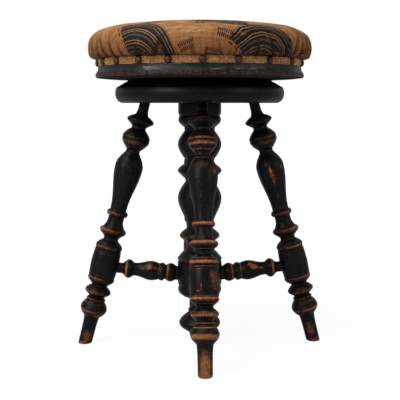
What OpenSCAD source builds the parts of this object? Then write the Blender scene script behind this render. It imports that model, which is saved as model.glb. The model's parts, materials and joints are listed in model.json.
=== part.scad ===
// Revolving piano stool: a turned, ebonised four-legged base with a centre
// column, and a round upholstered seat that rises on an iron screw.
// Millimetres, +Z up. The origin is on the floor, on the stool's own axis.

/* [Base] */
// Height of the base top's underside above the floor
base_height = 386; // [330:1:460]
// Radius of the round base top
base_top_r = 132.8; // [115:0.1:150]
// Thickness of the base top at its middle
base_top_t = 36; // [32:0.5:45]
// Distance from the stool's axis to a leg's axis, at the floor
foot_spread_r = 186; // [150:1:215]
// Distance from the stool's axis to a leg's axis, at the base top's underside
leg_top_r = 86.3; // [78:0.1:95]

/* [Legs] */
// Radius of a leg at its block, the widest stretch
leg_block_r = 22.2; // [18:0.1:26]
// Length of a leg's block along the leg
leg_block_len = 45; // [36:0.5:56]
// Length of a leg below its block, measured along the leg
leg_lower_len = 112.7; // [90:0.1:130]
// Length of the round tenon that holds a leg in the base top
leg_tenon_len = 26; // [18:0.5:28]

/* [Centre column] */
// Radius of the column at its block
column_block_r = 35.8; // [30:0.1:42]
// Height of the middle of the column's block above the floor
column_block_z = 114.5; // [95:0.5:140]
// Length of the column's block
column_block_len = 35; // [28:0.5:44]
// Gap between the column's drop finial and the floor
finial_clearance = 8; // [5:0.5:30]
// Radius of the tenon that holds the column in the base top
column_tenon_r = 24; // [21:0.1:28]
// Length of that tenon
column_tenon_len = 22; // [14:0.5:24]

/* [Stretchers] */
// Greatest radius of a stretcher
stretcher_r = 15.6; // [12:0.1:19]
// How deep a stretcher's ends run into the column and the leg
stretcher_tenon_len = 16; // [10:0.5:20]

/* [Screw] */
// Radius over the screw's thread
thread_crest_r = 12; // [11.2:0.1:13]
// Depth of the thread
thread_depth = 2; // [1.2:0.1:2.4]
// Rise of the seat for one turn
thread_pitch = 8; // [6:0.5:10]
// Number of whole turns of thread on the screw
thread_turns = 18; // [14:1:20]
// Clearance between the screw's thread and the nut's
thread_clearance = 0.4; // [0.3:0.05:0.6]

/* [Ironwork] */
// Radius of the nut plate let into the base top
nut_plate_r = 36; // [32:0.5:42]
// Thickness of the nut plate
nut_plate_t = 4; // [3:0.1:6]
// Radius of the nut's boss below the plate
nut_boss_r = 17.5; // [16:0.1:19]
// Length of that boss
nut_boss_len = 30; // [24:0.5:34]
// Radius of the plate let into the underside of the seat
seat_plate_r = 46; // [40:0.5:55]
// Thickness of the seat plate
seat_plate_t = 5; // [4:0.1:7]
// Radius of a wood screw's shank
wood_screw_r = 2.2; // [1.8:0.1:2.6]
// Length of a wood screw over its head
wood_screw_len = 17; // [12:0.5:20]
// Thickness of the leather stop washer between the plates
washer_t = 2.3; // [1.5:0.1:4]
// Outer radius of the stop washer
washer_r = 22; // [18:0.5:28]

/* [Seat] */
// Greatest radius of the seat board's moulded edge
seat_board_r = 163; // [150:0.5:180]
// Height of the moulded edge
moulding_h = 17; // [14:0.5:24]
// Height of the plain rim above it, which the cover is nailed to
rim_h = 11.5; // [9:0.5:16]
// How far the rim stands back from the moulded edge
rim_setback = 8; // [6:0.5:12]
// How far the cushion's widest point stands out past the rim
cushion_swell = 17; // [8:0.5:28]
// Height of the cushion's widest point above the rim
cushion_belly_h = 20; // [16:0.5:30]
// Rise of the crown above that widest point
cushion_crown_h = 35.5; // [25:0.5:60]
// How far the cushion stands out past the rim where the braid starts
cushion_overhang = 5.4; // [4.5:0.1:7.5]
// Thickness of the show cover
cover_t = 1.5; // [1:0.1:2.5]
// Thickness of the cloth round the stuffing
cloth_t = 1; // [0.6:0.1:1.5]

/* [Braid and nails] */
// Thickness of the braid
braid_t = 3; // [1.5:0.1:4]
// Number of nails round the braid
nail_count = 20; // [12:1:28]
// Radius of a nail's domed head
nail_head_r = 5.8; // [4:0.1:5.8]
// Height of the dome
nail_head_h = 3.8; // [2:0.1:4.5]
// Radius of a nail's shank
nail_shank_r = 0.9; // [0.7:0.1:1.2]
// Length of a nail's shank
nail_shank_len = 13; // [9:0.5:16]

/* [Hidden] */
$fn = 64;

// Directions of the four legs and stretchers, seen from above
front_angle = -90;
right_angle = 0;
back_angle = 90;
left_angle = 180;

// Clearances and small working sizes
fit = 0.1;            // glued or screwed joint
running_gap = 0.2;    // washer above the nut plate
overrun = 5;          // how far a cut runs past the face it opens
curve_steps = 7;      // straight steps in one curved stretch of a turning
ring_sides = 18;      // sides of one turn of thread

// Levels, from the floor up
base_top_z = base_height + base_top_t;
seat_z = base_top_z + running_gap + washer_t;
rim_z = seat_z + moulding_h;
board_top_z = rim_z + rim_h;
rim_r = seat_board_r - rim_setback;
cushion_r = rim_r + cushion_swell;
belly_z = board_top_z + cushion_belly_h;
crease_z = board_top_z + fit;

// A leg runs straight from the base top's underside to the floor
leg_lean = atan((foot_spread_r - leg_top_r) / base_height);
leg_len = base_height / cos(leg_lean);
leg_upper_len = leg_len - leg_block_len - leg_lower_len;

// Where a stretcher's axis meets the leg's axis and the column's axis
stretcher_leg_drop = 5.5;      // below the middle of the leg's block
stretcher_column_drop = 4.5;   // below the middle of the column's block
stretcher_outer_z = (leg_lower_len + leg_block_len / 2) * cos(leg_lean) - stretcher_leg_drop;
stretcher_outer_r = foot_spread_r - stretcher_outer_z * tan(leg_lean);
stretcher_inner_z = column_block_z - stretcher_column_drop;
stretcher_rise = atan((stretcher_outer_z - stretcher_inner_z) / stretcher_outer_r);
stretcher_axis_len = stretcher_outer_r / cos(stretcher_rise);
stretcher_start = column_block_r;
stretcher_end = stretcher_axis_len - leg_block_r;

// Column levels
column_upper_len = base_height - column_block_z - column_block_len / 2;
column_lower_len = column_block_z - column_block_len / 2 - finial_clearance;
column_bore_gap = 1;           // round the thread
column_bore_r = thread_crest_r + column_bore_gap;
column_bore_tip_gap = 8;       // below the screw's end

// Screw: the neck carries the seat plate, the thread starts under the washer
neck_play = 0.2;
thread_root_r = thread_crest_r - thread_depth;
neck_r = thread_root_r - neck_play;
washer_bore_gap = 0.4;
thread_top_lead = 1.5;
thread_tip_lead = 6;
thread_neck_lap = 3;           // how far the neck runs down inside the thread's core
thread_len = thread_pitch * (thread_turns + 1);
thread_top_z = base_top_z - fit;
thread_z = thread_top_z - thread_top_lead - thread_len;
screw_tip_z = thread_z - thread_tip_lead;
peened_head_r = 14;
peened_head_h = 3;
peened_head_gap = 0.5;

// Wood screws
screw_head_r = 2 * wood_screw_r;
screw_head_h = 1.1 * wood_screw_r;
screw_point_len = 2 * wood_screw_r;
screw_slot_w = 0.45 * wood_screw_r;
screw_slot_deep = 0.5 * wood_screw_r;
plate_screw_count = 4;
nut_screw_ring_r = (nut_plate_r + nut_boss_r) / 2;
seat_screw_ring_r = (seat_plate_r + peened_head_r) / 2 + screw_head_r;

// Turnings are tables of rows: [share of the length, share of the greatest
// radius, form of the stretch that ends there]. The forms are explained at
// the function called ease.
leg_upper_shares = [
    [0, 0.375], [0.046, 0.375, "line"], [0.083, 0.47, "hollow"],
    [0.121, 0.97, "round"], [0.129, 0.935, "round"], [0.160, 0.51, "line"],
    [0.174, 0.51, "line"], [0.238, 0.99, "round"], [0.241, 0.965, "line"],
    [0.244, 0.99, "line"], [0.315, 0.495, "round"], [0.332, 0.495, "line"],
    [0.436, 1.00, "round"], [0.720, 0.585, "wave"], [0.730, 0.585, "line"],
    [0.749, 0.76, "torus"], [0.768, 0.57, "torus"], [0.800, 0.57, "line"],
    [0.847, 0.76, "hollow"], [0.868, 0.955, "round"], [0.883, 0.90, "round"],
    [0.911, 0.58, "line"], [0.922, 0.535, "hollow"], [0.932, 0.535, "line"],
    [0.938, 0.60, "line"], [0.950, 0.78, "line"], [0.978, 0.96, "round"],
    [0.992, 0.94, "round"], [1, 0.905, "line"]];
leg_block_shares = [
    [0, 0.905], [0.03, 0.955, "line"], [0.50, 1.00, "round"],
    [0.97, 0.95, "round"], [1, 0.905, "line"]];
leg_lower_shares = [
    [0, 0.905], [0.030, 0.96, "torus"], [0.062, 0.89, "round"],
    [0.115, 0.58, "line"], [0.128, 0.56, "line"], [0.144, 0.63, "line"],
    [0.215, 0.935, "round"], [0.235, 0.905, "round"], [0.293, 0.58, "line"],
    [0.310, 0.55, "line"], [0.337, 0.695, "torus"], [0.352, 0.65, "line"],
    [0.470, 0.955, "round"], [0.595, 0.565, "round"], [0.605, 0.55, "line"],
    [0.750, 0.50, "hollow"], [1, 0.482, "line"]];
leg_tenon_share = leg_upper_shares[0][1];
leg_foot_share = leg_lower_shares[len(leg_lower_shares) - 1][1];
column_upper_shares = [
    [0, 0.944], [0.062, 0.944, "line"], [0.077, 0.888, "round"],
    [0.104, 0.941, "round"], [0.124, 0.888, "round"], [0.136, 0.80, "line"],
    [0.140, 0.78, "line"], [0.152, 0.68, "hollow"], [0.172, 0.667, "line"],
    [0.254, 0.964, "round"], [0.346, 0.665, "round"], [0.362, 0.64, "hollow"],
    [0.374, 0.64, "line"], [0.421, 0.975, "round"], [0.430, 0.95, "round"],
    [0.472, 0.655, "line"], [0.487, 0.626, "hollow"], [0.594, 0.975, "round"],
    [0.775, 0.587, "wave"], [0.787, 0.60, "line"], [0.833, 0.894, "round"],
    [0.841, 0.87, "round"], [0.868, 0.64, "line"], [0.881, 0.589, "hollow"],
    [0.907, 0.589, "line"], [0.937, 0.77, "hollow"], [0.965, 0.94, "line"],
    [0.976, 0.99, "round"], [0.988, 0.97, "round"], [1, 0.95, "line"]];
column_block_shares = [
    [0, 0.985], [0.50, 1.00, "round"], [0.98, 0.98, "round"], [1, 0.97, "line"]];
column_lower_shares = [
    [0, 0.97], [0.040, 0.942, "line"], [0.107, 0.972, "round"],
    [0.169, 0.92, "round"], [0.230, 0.725, "line"], [0.285, 0.42, "hollow"],
    [0.320, 0.365, "hollow"], [0.415, 0.365, "line"], [0.494, 0.52, "round"],
    [0.520, 0.49, "round"], [0.530, 0.50, "line"], [0.730, 0.93, "round"],
    [0.895, 0.49, "round"], [0.920, 0.47, "line"], [0.975, 0.41, "round"],
    [1, 0.27, "round"]];
stretcher_shares = [
    [0, 0.73], [0.036, 0.73, "line"], [0.122, 0.96, "round"],
    [0.190, 0.78, "round"], [0.207, 0.73, "line"], [0.220, 0.80, "line"],
    [0.257, 0.93, "round"], [0.299, 0.86, "round"], [0.315, 0.83, "line"],
    [0.441, 1.00, "round"], [0.705, 0.667, "wave"], [0.736, 0.673, "line"],
    [0.816, 0.974, "round"], [0.908, 0.59, "round"], [0.934, 0.54, "hollow"],
    [1, 0.54, "line"]];
// A stretcher's end necks run on into their sockets, as its tenons
stretcher_inner_tenon_r = stretcher_shares[0][1] * stretcher_r;
stretcher_outer_tenon_r = stretcher_shares[len(stretcher_shares) - 1][1] * stretcher_r;
base_top_edge_shares = [
    // share of the radius, share of the thickness, form
    [0.91, 0], [1.00, 0.40, "round"], [0.970, 0.70, "round"],
    [0.850, 0.96, "line"], [0.800, 1, "round"]];
moulding_shares = [
    // share of the rim's setback inside the greatest radius, share of the height
    [0.35, 0], [0, 0.17, "round"], [0.06, 0.36, "round"], [0.10, 0.42, "line"],
    [0.52, 0.86, "hollow"], [0.52, 1, "line"]];

// Thread outline over one pitch: [share of the pitch, share of the depth]
thread_shares = [[0, 0], [0.20, 1], [0.55, 1], [0.75, 0]];

// Sharpness of the crown's curve: 2 is an ellipse, more is squarer
crown_power = 3.1;
crown_steps = 26;
belly_steps = 8;

// The nails were set by hand, a little closer on one side of the seat
nail_drift = 8;
seat_turn = -1;       // how far the nails are turned from the front leg

// Shapes that repeat

// How a stretch climbs from its thin end (0) to its thick end (1)
function ease(form, u) =
    form == "round" ? sin(90 * u) :
    form == "hollow" ? 1 - cos(90 * u) :
    form == "wave" ? (1 - cos(180 * u)) / 2 :
    form == "torus" ? sqrt(1 - pow(1 - u, 2)) :
    u;

// Points of one stretch, [place, size], without its first point
function stretch(a, b) =
    let (n = b[2] == "line" ? 1 : curve_steps)
    [for (k = [1 : n])
        let (u = k / n)
        [a[0] + (b[0] - a[0]) * u,
         b[1] >= a[1] ? a[1] + (b[1] - a[1]) * ease(b[2], u)
                      : b[1] + (a[1] - b[1]) * ease(b[2], 1 - u)]];

// Points of a whole table of rows
function outline(rows) =
    concat([[rows[0][0], rows[0][1]]],
        [for (i = [1 : len(rows) - 1]) each stretch(rows[i - 1], rows[i])]);

// The table's outline at its real place and size, as [radius, height]
function turned(rows, start, length, radius) =
    [for (p = outline(rows)) [p[1] * radius, start + p[0] * length]];

// An edge's table runs outwards and up, so both of its columns are eased by
// the radius: this walks it the way the table is written
function outline_pairs(rows) =
    concat([[rows[0][0], rows[0][1]]],
        [for (i = [1 : len(rows) - 1])
            let (a = rows[i - 1], b = rows[i], n = b[2] == "line" ? 1 : curve_steps)
            for (k = [1 : n])
                let (u = k / n, out = b[0] >= a[0])
                out ? [a[0] + (b[0] - a[0]) * ease(b[2], u),
                       a[1] + (b[1] - a[1]) * (b[2] == "round" ? 1 - cos(90 * u) : u)]
                    : [b[0] + (a[0] - b[0]) * ease(b[2], 1 - u),
                       a[1] + (b[1] - a[1]) * (b[2] == "round" ? sin(90 * u) : u)]]);

module wood_screw() {
    // Head upwards at zero height, point down
    difference() {
        union() {
            translate([0, 0, -screw_head_h])
                cylinder(h = screw_head_h, r1 = wood_screw_r, r2 = screw_head_r);
            translate([0, 0, screw_point_len - wood_screw_len])
                cylinder(h = wood_screw_len - screw_point_len - screw_head_h / 2, r = wood_screw_r);
            translate([0, 0, -wood_screw_len])
                cylinder(h = screw_point_len, r1 = wood_screw_r / 4, r2 = wood_screw_r);
        }
        translate([-screw_head_r, -screw_slot_w / 2, -screw_slot_deep])
            cube([2 * screw_head_r, screw_slot_w, screw_slot_deep + overrun]);
    }
}

module wood_screw_hole() {
    translate([0, 0, -screw_head_h - fit])
        cylinder(h = screw_head_h + fit, r1 = wood_screw_r + fit, r2 = screw_head_r + fit);
    translate([0, 0, -wood_screw_len - fit])
        cylinder(h = wood_screw_len + fit, r = wood_screw_r + fit);
    cylinder(h = overrun, r = screw_head_r + fit);
}

module ring_of(count, radius, turn) {
    for (i = [0 : count - 1])
        rotate([0, 0, turn + 360 * i / count])
            translate([radius, 0, 0])
                children();
}

// A threaded core as one closed solid. A right-hand ridge climbs one pitch a
// turn; grow widens it all round, which makes the cutter for the nut.
module threaded_core(low_z, turns, low_lead, high_lead, grow) {
    n = ring_sides;
    steps = n * turns;
    widen_share = grow / thread_pitch;
    rows = [for (k = [0 : 3])
        [thread_shares[k][0] + (k < 2 ? -widen_share : widen_share),
         thread_root_r + grow + thread_shares[k][1] * thread_depth]];
    high_z = low_z + thread_pitch * (turns + 1) + high_lead;
    function spot(i, share, r) =
        [r * cos(360 * i / n), r * sin(360 * i / n),
         low_z + thread_pitch * (i / n + share)];
    helix = [for (i = [0 : steps]) for (k = [0 : 3]) spot(i, rows[k][0], rows[k][1])];
    last_turn = [for (i = [steps + 1 : steps + n]) spot(i, rows[0][0], rows[0][1])];
    low_ring = [for (i = [0 : n - 1]) spot(i, -low_lead / thread_pitch - i / n, rows[0][1])];
    high_ring = [for (i = [0 : n - 1])
        [rows[0][1] * cos(360 * i / n), rows[0][1] * sin(360 * i / n), high_z]];
    low_at = len(helix) + n;
    high_at = low_at + n;
    function at(i, k) =
        k == 4 ? at(i + n, 0) :
        i <= steps ? 4 * i + k : len(helix) + i - steps - 1;
    function low(i) = low_at + i % n;
    function high(i) = high_at + i % n;
    ridge = [for (i = [0 : steps - 1]) for (k = [0 : 3]) each
        [[at(i, k), at(i, k + 1), at(i + 1, k + 1)], [at(i, k), at(i + 1, k + 1), at(i + 1, k)]]];
    low_skirt = [for (i = [0 : n - 2]) each
        [[low(i), at(i, 0), at(i + 1, 0)], [low(i), at(i + 1, 0), low(i + 1)]]];
    low_close = [[low(n - 1), at(0, 0), low(0)], [low(n - 1), at(0, 3), at(0, 0)],
        [low(n - 1), at(n, 0), at(0, 3)], [low(n - 1), at(n - 1, 0), at(n, 0)],
        [at(0, 0), at(0, 3), at(0, 2)], [at(0, 0), at(0, 2), at(0, 1)]];
    high_skirt = [for (i = [1 : n - 1]) each
        [[at(steps + i, 0), high(i), high(i + 1)],
         [at(steps + i, 0), high(i + 1), at(steps + i + 1, 0)]]];
    high_close = [[high(1), at(steps + n, 0), high(0)], [high(1), at(steps, 3), at(steps + n, 0)],
        [high(1), at(steps, 0), at(steps, 3)], [high(1), at(steps + 1, 0), at(steps, 0)],
        [at(steps, 0), at(steps, 1), at(steps, 2)], [at(steps, 0), at(steps, 2), at(steps, 3)]];
    caps = [[for (i = [0 : n - 1]) low(i)], [for (i = [n - 1 : -1 : 0]) high(i)]];
    polyhedron(
        points = concat(helix, last_turn, low_ring, high_ring),
        faces = concat(ridge, low_skirt, low_close, high_skirt, high_close, caps),
        convexity = 10);
}

// Base

// Puts its children on a leg's axis: its top is at zero, the foot points down
module on_leg(angle) {
    rotate([0, 0, angle])
        translate([leg_top_r, 0, base_height])
            rotate([0, -leg_lean, 0])
                children();
}

// Puts its children on a stretcher's axis, starting on the column's axis
module on_stretcher(angle) {
    rotate([0, 0, angle])
        translate([0, 0, stretcher_inner_z])
            rotate([0, 90 - stretcher_rise, 0])
                children();
}

module base_top() {
    color("#1b1a1a")
    difference() {
        translate([0, 0, base_height])
            rotate_extrude()
                polygon(concat([[0, 0]],
                    [for (p = outline_pairs(base_top_edge_shares))
                        [p[0] * base_top_r, p[1] * base_top_t]],
                    [[0, base_top_t]]));
        for (angle = [front_angle, right_angle, back_angle, left_angle])
            on_leg(angle)
                translate([0, 0, -overrun])
                    cylinder(h = leg_tenon_len + fit + overrun,
                        r = leg_tenon_share * leg_block_r + fit);
        translate([0, 0, base_height - overrun])
            cylinder(h = column_tenon_len + fit + overrun, r = column_tenon_r + fit);
        translate([0, 0, base_height])
            cylinder(h = base_top_t + overrun, r = nut_boss_r + fit);
        translate([0, 0, base_top_z - nut_plate_t - fit])
            cylinder(h = nut_plate_t + fit + overrun, r = nut_plate_r + fit);
        translate([0, 0, base_top_z])
            ring_of(plate_screw_count, nut_screw_ring_r, 45)
                wood_screw_hole();
    }
}

module leg(angle) {
    foot_r = leg_foot_share * leg_block_r;
    foot_round = 2.4;
    tenon_r = leg_tenon_share * leg_block_r;
    color("#1d1b1a")
    difference() {
        intersection() {
            on_leg(angle)
                rotate_extrude()
                    polygon(concat(
                        [[0, leg_tenon_len], [tenon_r, leg_tenon_len]],
                        turned(leg_upper_shares, 0, -leg_upper_len, leg_block_r),
                        turned(leg_block_shares, -leg_upper_len, -leg_block_len, leg_block_r),
                        turned(leg_lower_shares, -leg_upper_len - leg_block_len,
                            -leg_lower_len, leg_block_r),
                        [[foot_r, -leg_len - overrun], [0, -leg_len - overrun]]));
            // The foot is cut level with the floor, and its edge is rubbed round
            rotate([0, 0, angle])
                translate([foot_spread_r, 0, 0])
                    rotate_extrude()
                        polygon(concat([[0, 0]],
                            [for (a = [0 : 15 : 75])
                                [foot_r - foot_round * (1 - sin(a)), foot_round * (1 - cos(a))]],
                            [[foot_r + foot_round, foot_round * 3],
                             [foot_spread_r + base_top_r, base_top_r],
                             [foot_spread_r + base_top_r, base_top_z],
                             [0, base_top_z]]));
        }
        on_stretcher(angle)
            translate([0, 0, stretcher_end - overrun])
                cylinder(h = stretcher_tenon_len + fit + overrun,
                    r = stretcher_outer_tenon_r + fit);
    }
}

module centre_column() {
    color("#1a1919")
    difference() {
        rotate_extrude()
            polygon(concat(
                [[0, base_height + column_tenon_len],
                 [column_tenon_r, base_height + column_tenon_len],
                 [column_tenon_r, base_height]],
                turned(column_upper_shares, base_height, -column_upper_len, column_block_r),
                turned(column_block_shares, base_height - column_upper_len,
                    -column_block_len, column_block_r),
                turned(column_lower_shares, finial_clearance + column_lower_len,
                    -column_lower_len, column_block_r),
                [[0, finial_clearance]]));
        translate([0, 0, screw_tip_z - column_bore_tip_gap])
            cylinder(h = base_top_z, r = column_bore_r);
        translate([0, 0, base_top_z - nut_plate_t - nut_boss_len - fit])
            cylinder(h = base_top_z, r = nut_boss_r + fit);
        for (angle = [front_angle, right_angle, back_angle, left_angle])
            on_stretcher(angle)
                translate([0, 0, stretcher_start - stretcher_tenon_len - fit])
                    cylinder(h = stretcher_tenon_len + fit + overrun,
                        r = stretcher_inner_tenon_r + fit);
    }
}

module stretcher(angle) {
    exposed = stretcher_end - stretcher_start;
    color("#1f1c1a")
    on_stretcher(angle)
        rotate_extrude()
            polygon(concat(
                [[0, stretcher_start - stretcher_tenon_len],
                 [stretcher_inner_tenon_r, stretcher_start - stretcher_tenon_len]],
                turned(stretcher_shares, stretcher_start, exposed, stretcher_r),
                [[stretcher_outer_tenon_r, stretcher_end + stretcher_tenon_len],
                 [0, stretcher_end + stretcher_tenon_len]]));
}

// Screw and its ironwork

module nut_plate() {
    cutter_turns = ceil((nut_plate_t + nut_boss_len + 2 * overrun) / thread_pitch);
    // A whole number of pitches above the screw's own start, so the two threads mesh
    cutter_lift = thread_pitch
        * floor((base_top_z - nut_plate_t - nut_boss_len - overrun - thread_z) / thread_pitch);
    color("#4a4643")
    difference() {
        union() {
            translate([0, 0, base_top_z - nut_plate_t])
                cylinder(h = nut_plate_t, r = nut_plate_r);
            translate([0, 0, base_top_z - nut_plate_t - nut_boss_len])
                cylinder(h = nut_boss_len + nut_plate_t / 2, r = nut_boss_r);
        }
        threaded_core(thread_z + cutter_lift, cutter_turns, overrun, overrun, thread_clearance);
        translate([0, 0, base_top_z])
            ring_of(plate_screw_count, nut_screw_ring_r, 45)
                wood_screw_hole();
    }
}

module nut_plate_screws() {
    color("#6b6660")
    translate([0, 0, base_top_z])
        ring_of(plate_screw_count, nut_screw_ring_r, 45)
            wood_screw();
}

module screw_spindle() {
    color("#5b5650")
    union() {
        threaded_core(thread_z, thread_turns, thread_tip_lead, thread_top_lead, 0);
        translate([0, 0, thread_top_z - thread_neck_lap])
            cylinder(h = seat_z + seat_plate_t - thread_top_z + thread_neck_lap, r = neck_r);
        translate([0, 0, seat_z + seat_plate_t])
            cylinder(h = peened_head_h, r1 = peened_head_r, r2 = neck_r);
    }
}

module stop_washer() {
    color("#6a4a30")
    translate([0, 0, seat_z - washer_t])
        difference() {
            cylinder(h = washer_t, r = washer_r);
            translate([0, 0, -overrun])
                cylinder(h = washer_t + 2 * overrun, r = neck_r + washer_bore_gap);
        }
}

module seat_plate() {
    color("#4a4643")
    difference() {
        translate([0, 0, seat_z])
            cylinder(h = seat_plate_t, r = seat_plate_r);
        translate([0, 0, seat_z - overrun])
            cylinder(h = seat_plate_t + 2 * overrun, r = neck_r + fit);
        translate([0, 0, seat_z])
            mirror([0, 0, 1])
                ring_of(plate_screw_count, seat_screw_ring_r, 45)
                    wood_screw_hole();
    }
}

module seat_plate_screws() {
    color("#6b6660")
    translate([0, 0, seat_z])
        mirror([0, 0, 1])
            ring_of(plate_screw_count, seat_screw_ring_r, 45)
                wood_screw();
}

// Seat

// Places its children at each nail: +X points out of the seat at the nail
module at_nails() {
    for (i = [0 : nail_count - 1])
        let (even = 360 * i / nail_count)
        rotate([0, 0, front_angle + seat_turn + even + nail_drift * (1 - cos(even))])
            translate([rim_r + fit + cover_t + fit + braid_t + fit, 0, rim_z + rim_h / 2])
                rotate([0, 90, 0])
                    children();
}

module nail_holes() {
    at_nails()
        translate([0, 0, -nail_shank_len - fit])
            cylinder(h = nail_shank_len + fit + overrun, r = nail_shank_r + fit);
}

module seat_board() {
    color("#2a2422")
    difference() {
        translate([0, 0, seat_z])
            rotate_extrude()
                polygon(concat([[0, 0]],
                    [for (p = outline_pairs([for (q = moulding_shares) [-q[0], q[1], q[2]]]))
                        [seat_board_r + p[0] * rim_setback, p[1] * moulding_h]],
                    [[rim_r, moulding_h], [rim_r, moulding_h + rim_h], [0, moulding_h + rim_h]]));
        translate([0, 0, seat_z - overrun])
            cylinder(h = seat_plate_t + fit + overrun, r = seat_plate_r + fit);
        translate([0, 0, seat_z])
            cylinder(h = seat_plate_t + peened_head_h + peened_head_gap,
                r = peened_head_r + peened_head_gap);
        translate([0, 0, seat_z])
            mirror([0, 0, 1])
                ring_of(plate_screw_count, seat_screw_ring_r, 45)
                    wood_screw_hole();
        nail_holes();
    }
}

// The cushion's outline, drawn in by inset, down to a foot of the given radius
function cushion_outline(inset, foot_r, foot_z) =
    let (r = cushion_r - inset, h = cushion_crown_h - inset,
         waist_r = rim_r + cushion_overhang - inset, waist_z = crease_z + inset)
    concat(
        [for (k = [0 : crown_steps])
            let (a = 90 * k / crown_steps)
            [r * pow(sin(a), 2 / crown_power), belly_z + h * pow(cos(a), 2 / crown_power)]],
        [for (k = [1 : belly_steps])
            let (a = 90 * k / belly_steps)
            [waist_r + (r - waist_r) * cos(a), belly_z - (belly_z - waist_z) * sin(a)]],
        [[foot_r, waist_z], [foot_r, foot_z]]);

function reversed(list) = [for (i = [len(list) - 1 : -1 : 0]) list[i]];

module cushion_layer(inset, thickness, foot_r, foot_z) {
    rotate_extrude()
        polygon(concat(
            cushion_outline(inset, foot_r, foot_z),
            reversed(cushion_outline(inset + thickness, foot_r - thickness, foot_z))));
}

module seat_cover() {
    color("#b07a48")
    difference() {
        cushion_layer(0, cover_t, rim_r + fit + cover_t, rim_z + fit);
        nail_holes();
    }
}

module stuffing_cloth() {
    color("#c9b48c")
    cushion_layer(cover_t + fit, cloth_t, rim_r, board_top_z + fit);
}

module stuffing() {
    inset = cover_t + cloth_t + 2 * fit;
    color("#4d3b2c")
    rotate_extrude()
        polygon(concat(
            cushion_outline(inset, rim_r - cloth_t - fit, board_top_z + fit),
            [[0, board_top_z + fit]]));
}

module gimp_braid() {
    inner_r = rim_r + fit + cover_t + fit;
    braid_h = rim_h - 2 * fit;
    edge_t_share = 0.6;
    color("#b0905f")
    difference() {
        translate([0, 0, rim_z + fit])
            rotate_extrude()
                polygon([[inner_r, 0], [inner_r + braid_t * edge_t_share, 0],
                    for (a = [-60 : 20 : 60])
                        [inner_r + braid_t * (edge_t_share + (1 - edge_t_share) * cos(a)),
                         braid_h * (1 + sin(a)) / 2],
                    [inner_r + braid_t * edge_t_share, braid_h], [inner_r, braid_h]]);
        nail_holes();
    }
}

module upholstery_nails() {
    dome_r = (nail_head_r * nail_head_r + nail_head_h * nail_head_h) / (2 * nail_head_h);
    color("#4b3a2a")
    at_nails() {
        intersection() {
            translate([0, 0, nail_head_h - dome_r])
                sphere(r = dome_r);
            cylinder(h = nail_head_h + overrun, r = nail_head_r + overrun);
        }
        translate([0, 0, -nail_shank_len])
            cylinder(h = nail_shank_len + nail_head_h / 2, r = nail_shank_r);
    }
}

base_top();
centre_column();
leg(front_angle);  // leg_front
leg(right_angle);  // leg_right
leg(back_angle);  // leg_back
leg(left_angle);  // leg_left
stretcher(front_angle);  // stretcher_front
stretcher(right_angle);  // stretcher_right
stretcher(back_angle);  // stretcher_back
stretcher(left_angle);  // stretcher_left
nut_plate();
nut_plate_screws();
screw_spindle();
stop_washer();
seat_plate();
seat_plate_screws();
seat_board();
stuffing();
stuffing_cloth();
seat_cover();
gimp_braid();
upholstery_nails();
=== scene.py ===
# %% [markdown]
# # A revolving piano stool
#
# The real object is an old ebonised stool. Four turned legs and a turned
# column stand under a round base top, and an iron screw in the column carries
# a round upholstered seat. This file dresses the packed CAD model of it. The
# CAD model gives every size and place, and this file adds what CAD leaves out:
# worn polish, cloth with real tucks, a woven braid and hammered nails.
#
# The model is loaded first, because everything after it is measured from it.

# %% Open the packed model
import json
import math
import random

import bmesh
import bpy
import numpy as np
from mathutils import Matrix, Vector


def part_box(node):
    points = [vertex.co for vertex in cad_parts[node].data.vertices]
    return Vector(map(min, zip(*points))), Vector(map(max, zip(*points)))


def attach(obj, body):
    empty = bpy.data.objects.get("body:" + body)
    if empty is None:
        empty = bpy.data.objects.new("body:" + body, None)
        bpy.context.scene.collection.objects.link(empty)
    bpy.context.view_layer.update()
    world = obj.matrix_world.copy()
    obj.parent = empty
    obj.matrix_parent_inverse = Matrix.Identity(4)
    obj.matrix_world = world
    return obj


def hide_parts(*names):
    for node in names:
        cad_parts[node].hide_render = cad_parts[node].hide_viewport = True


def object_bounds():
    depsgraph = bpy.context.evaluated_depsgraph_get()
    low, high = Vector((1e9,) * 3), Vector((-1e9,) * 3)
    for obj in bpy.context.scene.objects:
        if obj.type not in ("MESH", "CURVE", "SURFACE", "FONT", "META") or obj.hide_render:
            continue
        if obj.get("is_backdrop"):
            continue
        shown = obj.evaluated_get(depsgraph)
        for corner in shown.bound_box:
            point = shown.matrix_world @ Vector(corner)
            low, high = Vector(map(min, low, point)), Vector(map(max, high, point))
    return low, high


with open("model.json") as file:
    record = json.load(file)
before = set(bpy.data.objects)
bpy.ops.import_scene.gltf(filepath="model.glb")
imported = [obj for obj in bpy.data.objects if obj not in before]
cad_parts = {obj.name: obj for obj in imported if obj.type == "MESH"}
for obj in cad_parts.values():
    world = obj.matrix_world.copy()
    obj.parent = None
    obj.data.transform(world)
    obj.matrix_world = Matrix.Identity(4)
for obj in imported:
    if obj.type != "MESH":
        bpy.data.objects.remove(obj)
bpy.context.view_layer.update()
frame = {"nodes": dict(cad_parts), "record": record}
MM = 0.001


def foot_of(node):
    """The lowest height of a CAD node."""
    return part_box(node)[0].z


def top_of(node):
    """The greatest height of a CAD node."""
    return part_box(node)[1].z


def add_object(name, data):
    """A new object in the scene."""
    thing = bpy.data.objects.new(name, data)
    bpy.context.scene.collection.objects.link(thing)
    return thing


# %% [markdown]
# ## Camera
#
# A camera could be placed by eye, but the photograph fixes it. The flat
# underside of the base top shows as one straight line, so the lens stands at
# exactly that height. The front foot shows lower than the side feet, and that
# gives the distance. The stool is turned by a small angle, so the camera
# walks round it by the same angle instead of the stool being moved.

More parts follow.
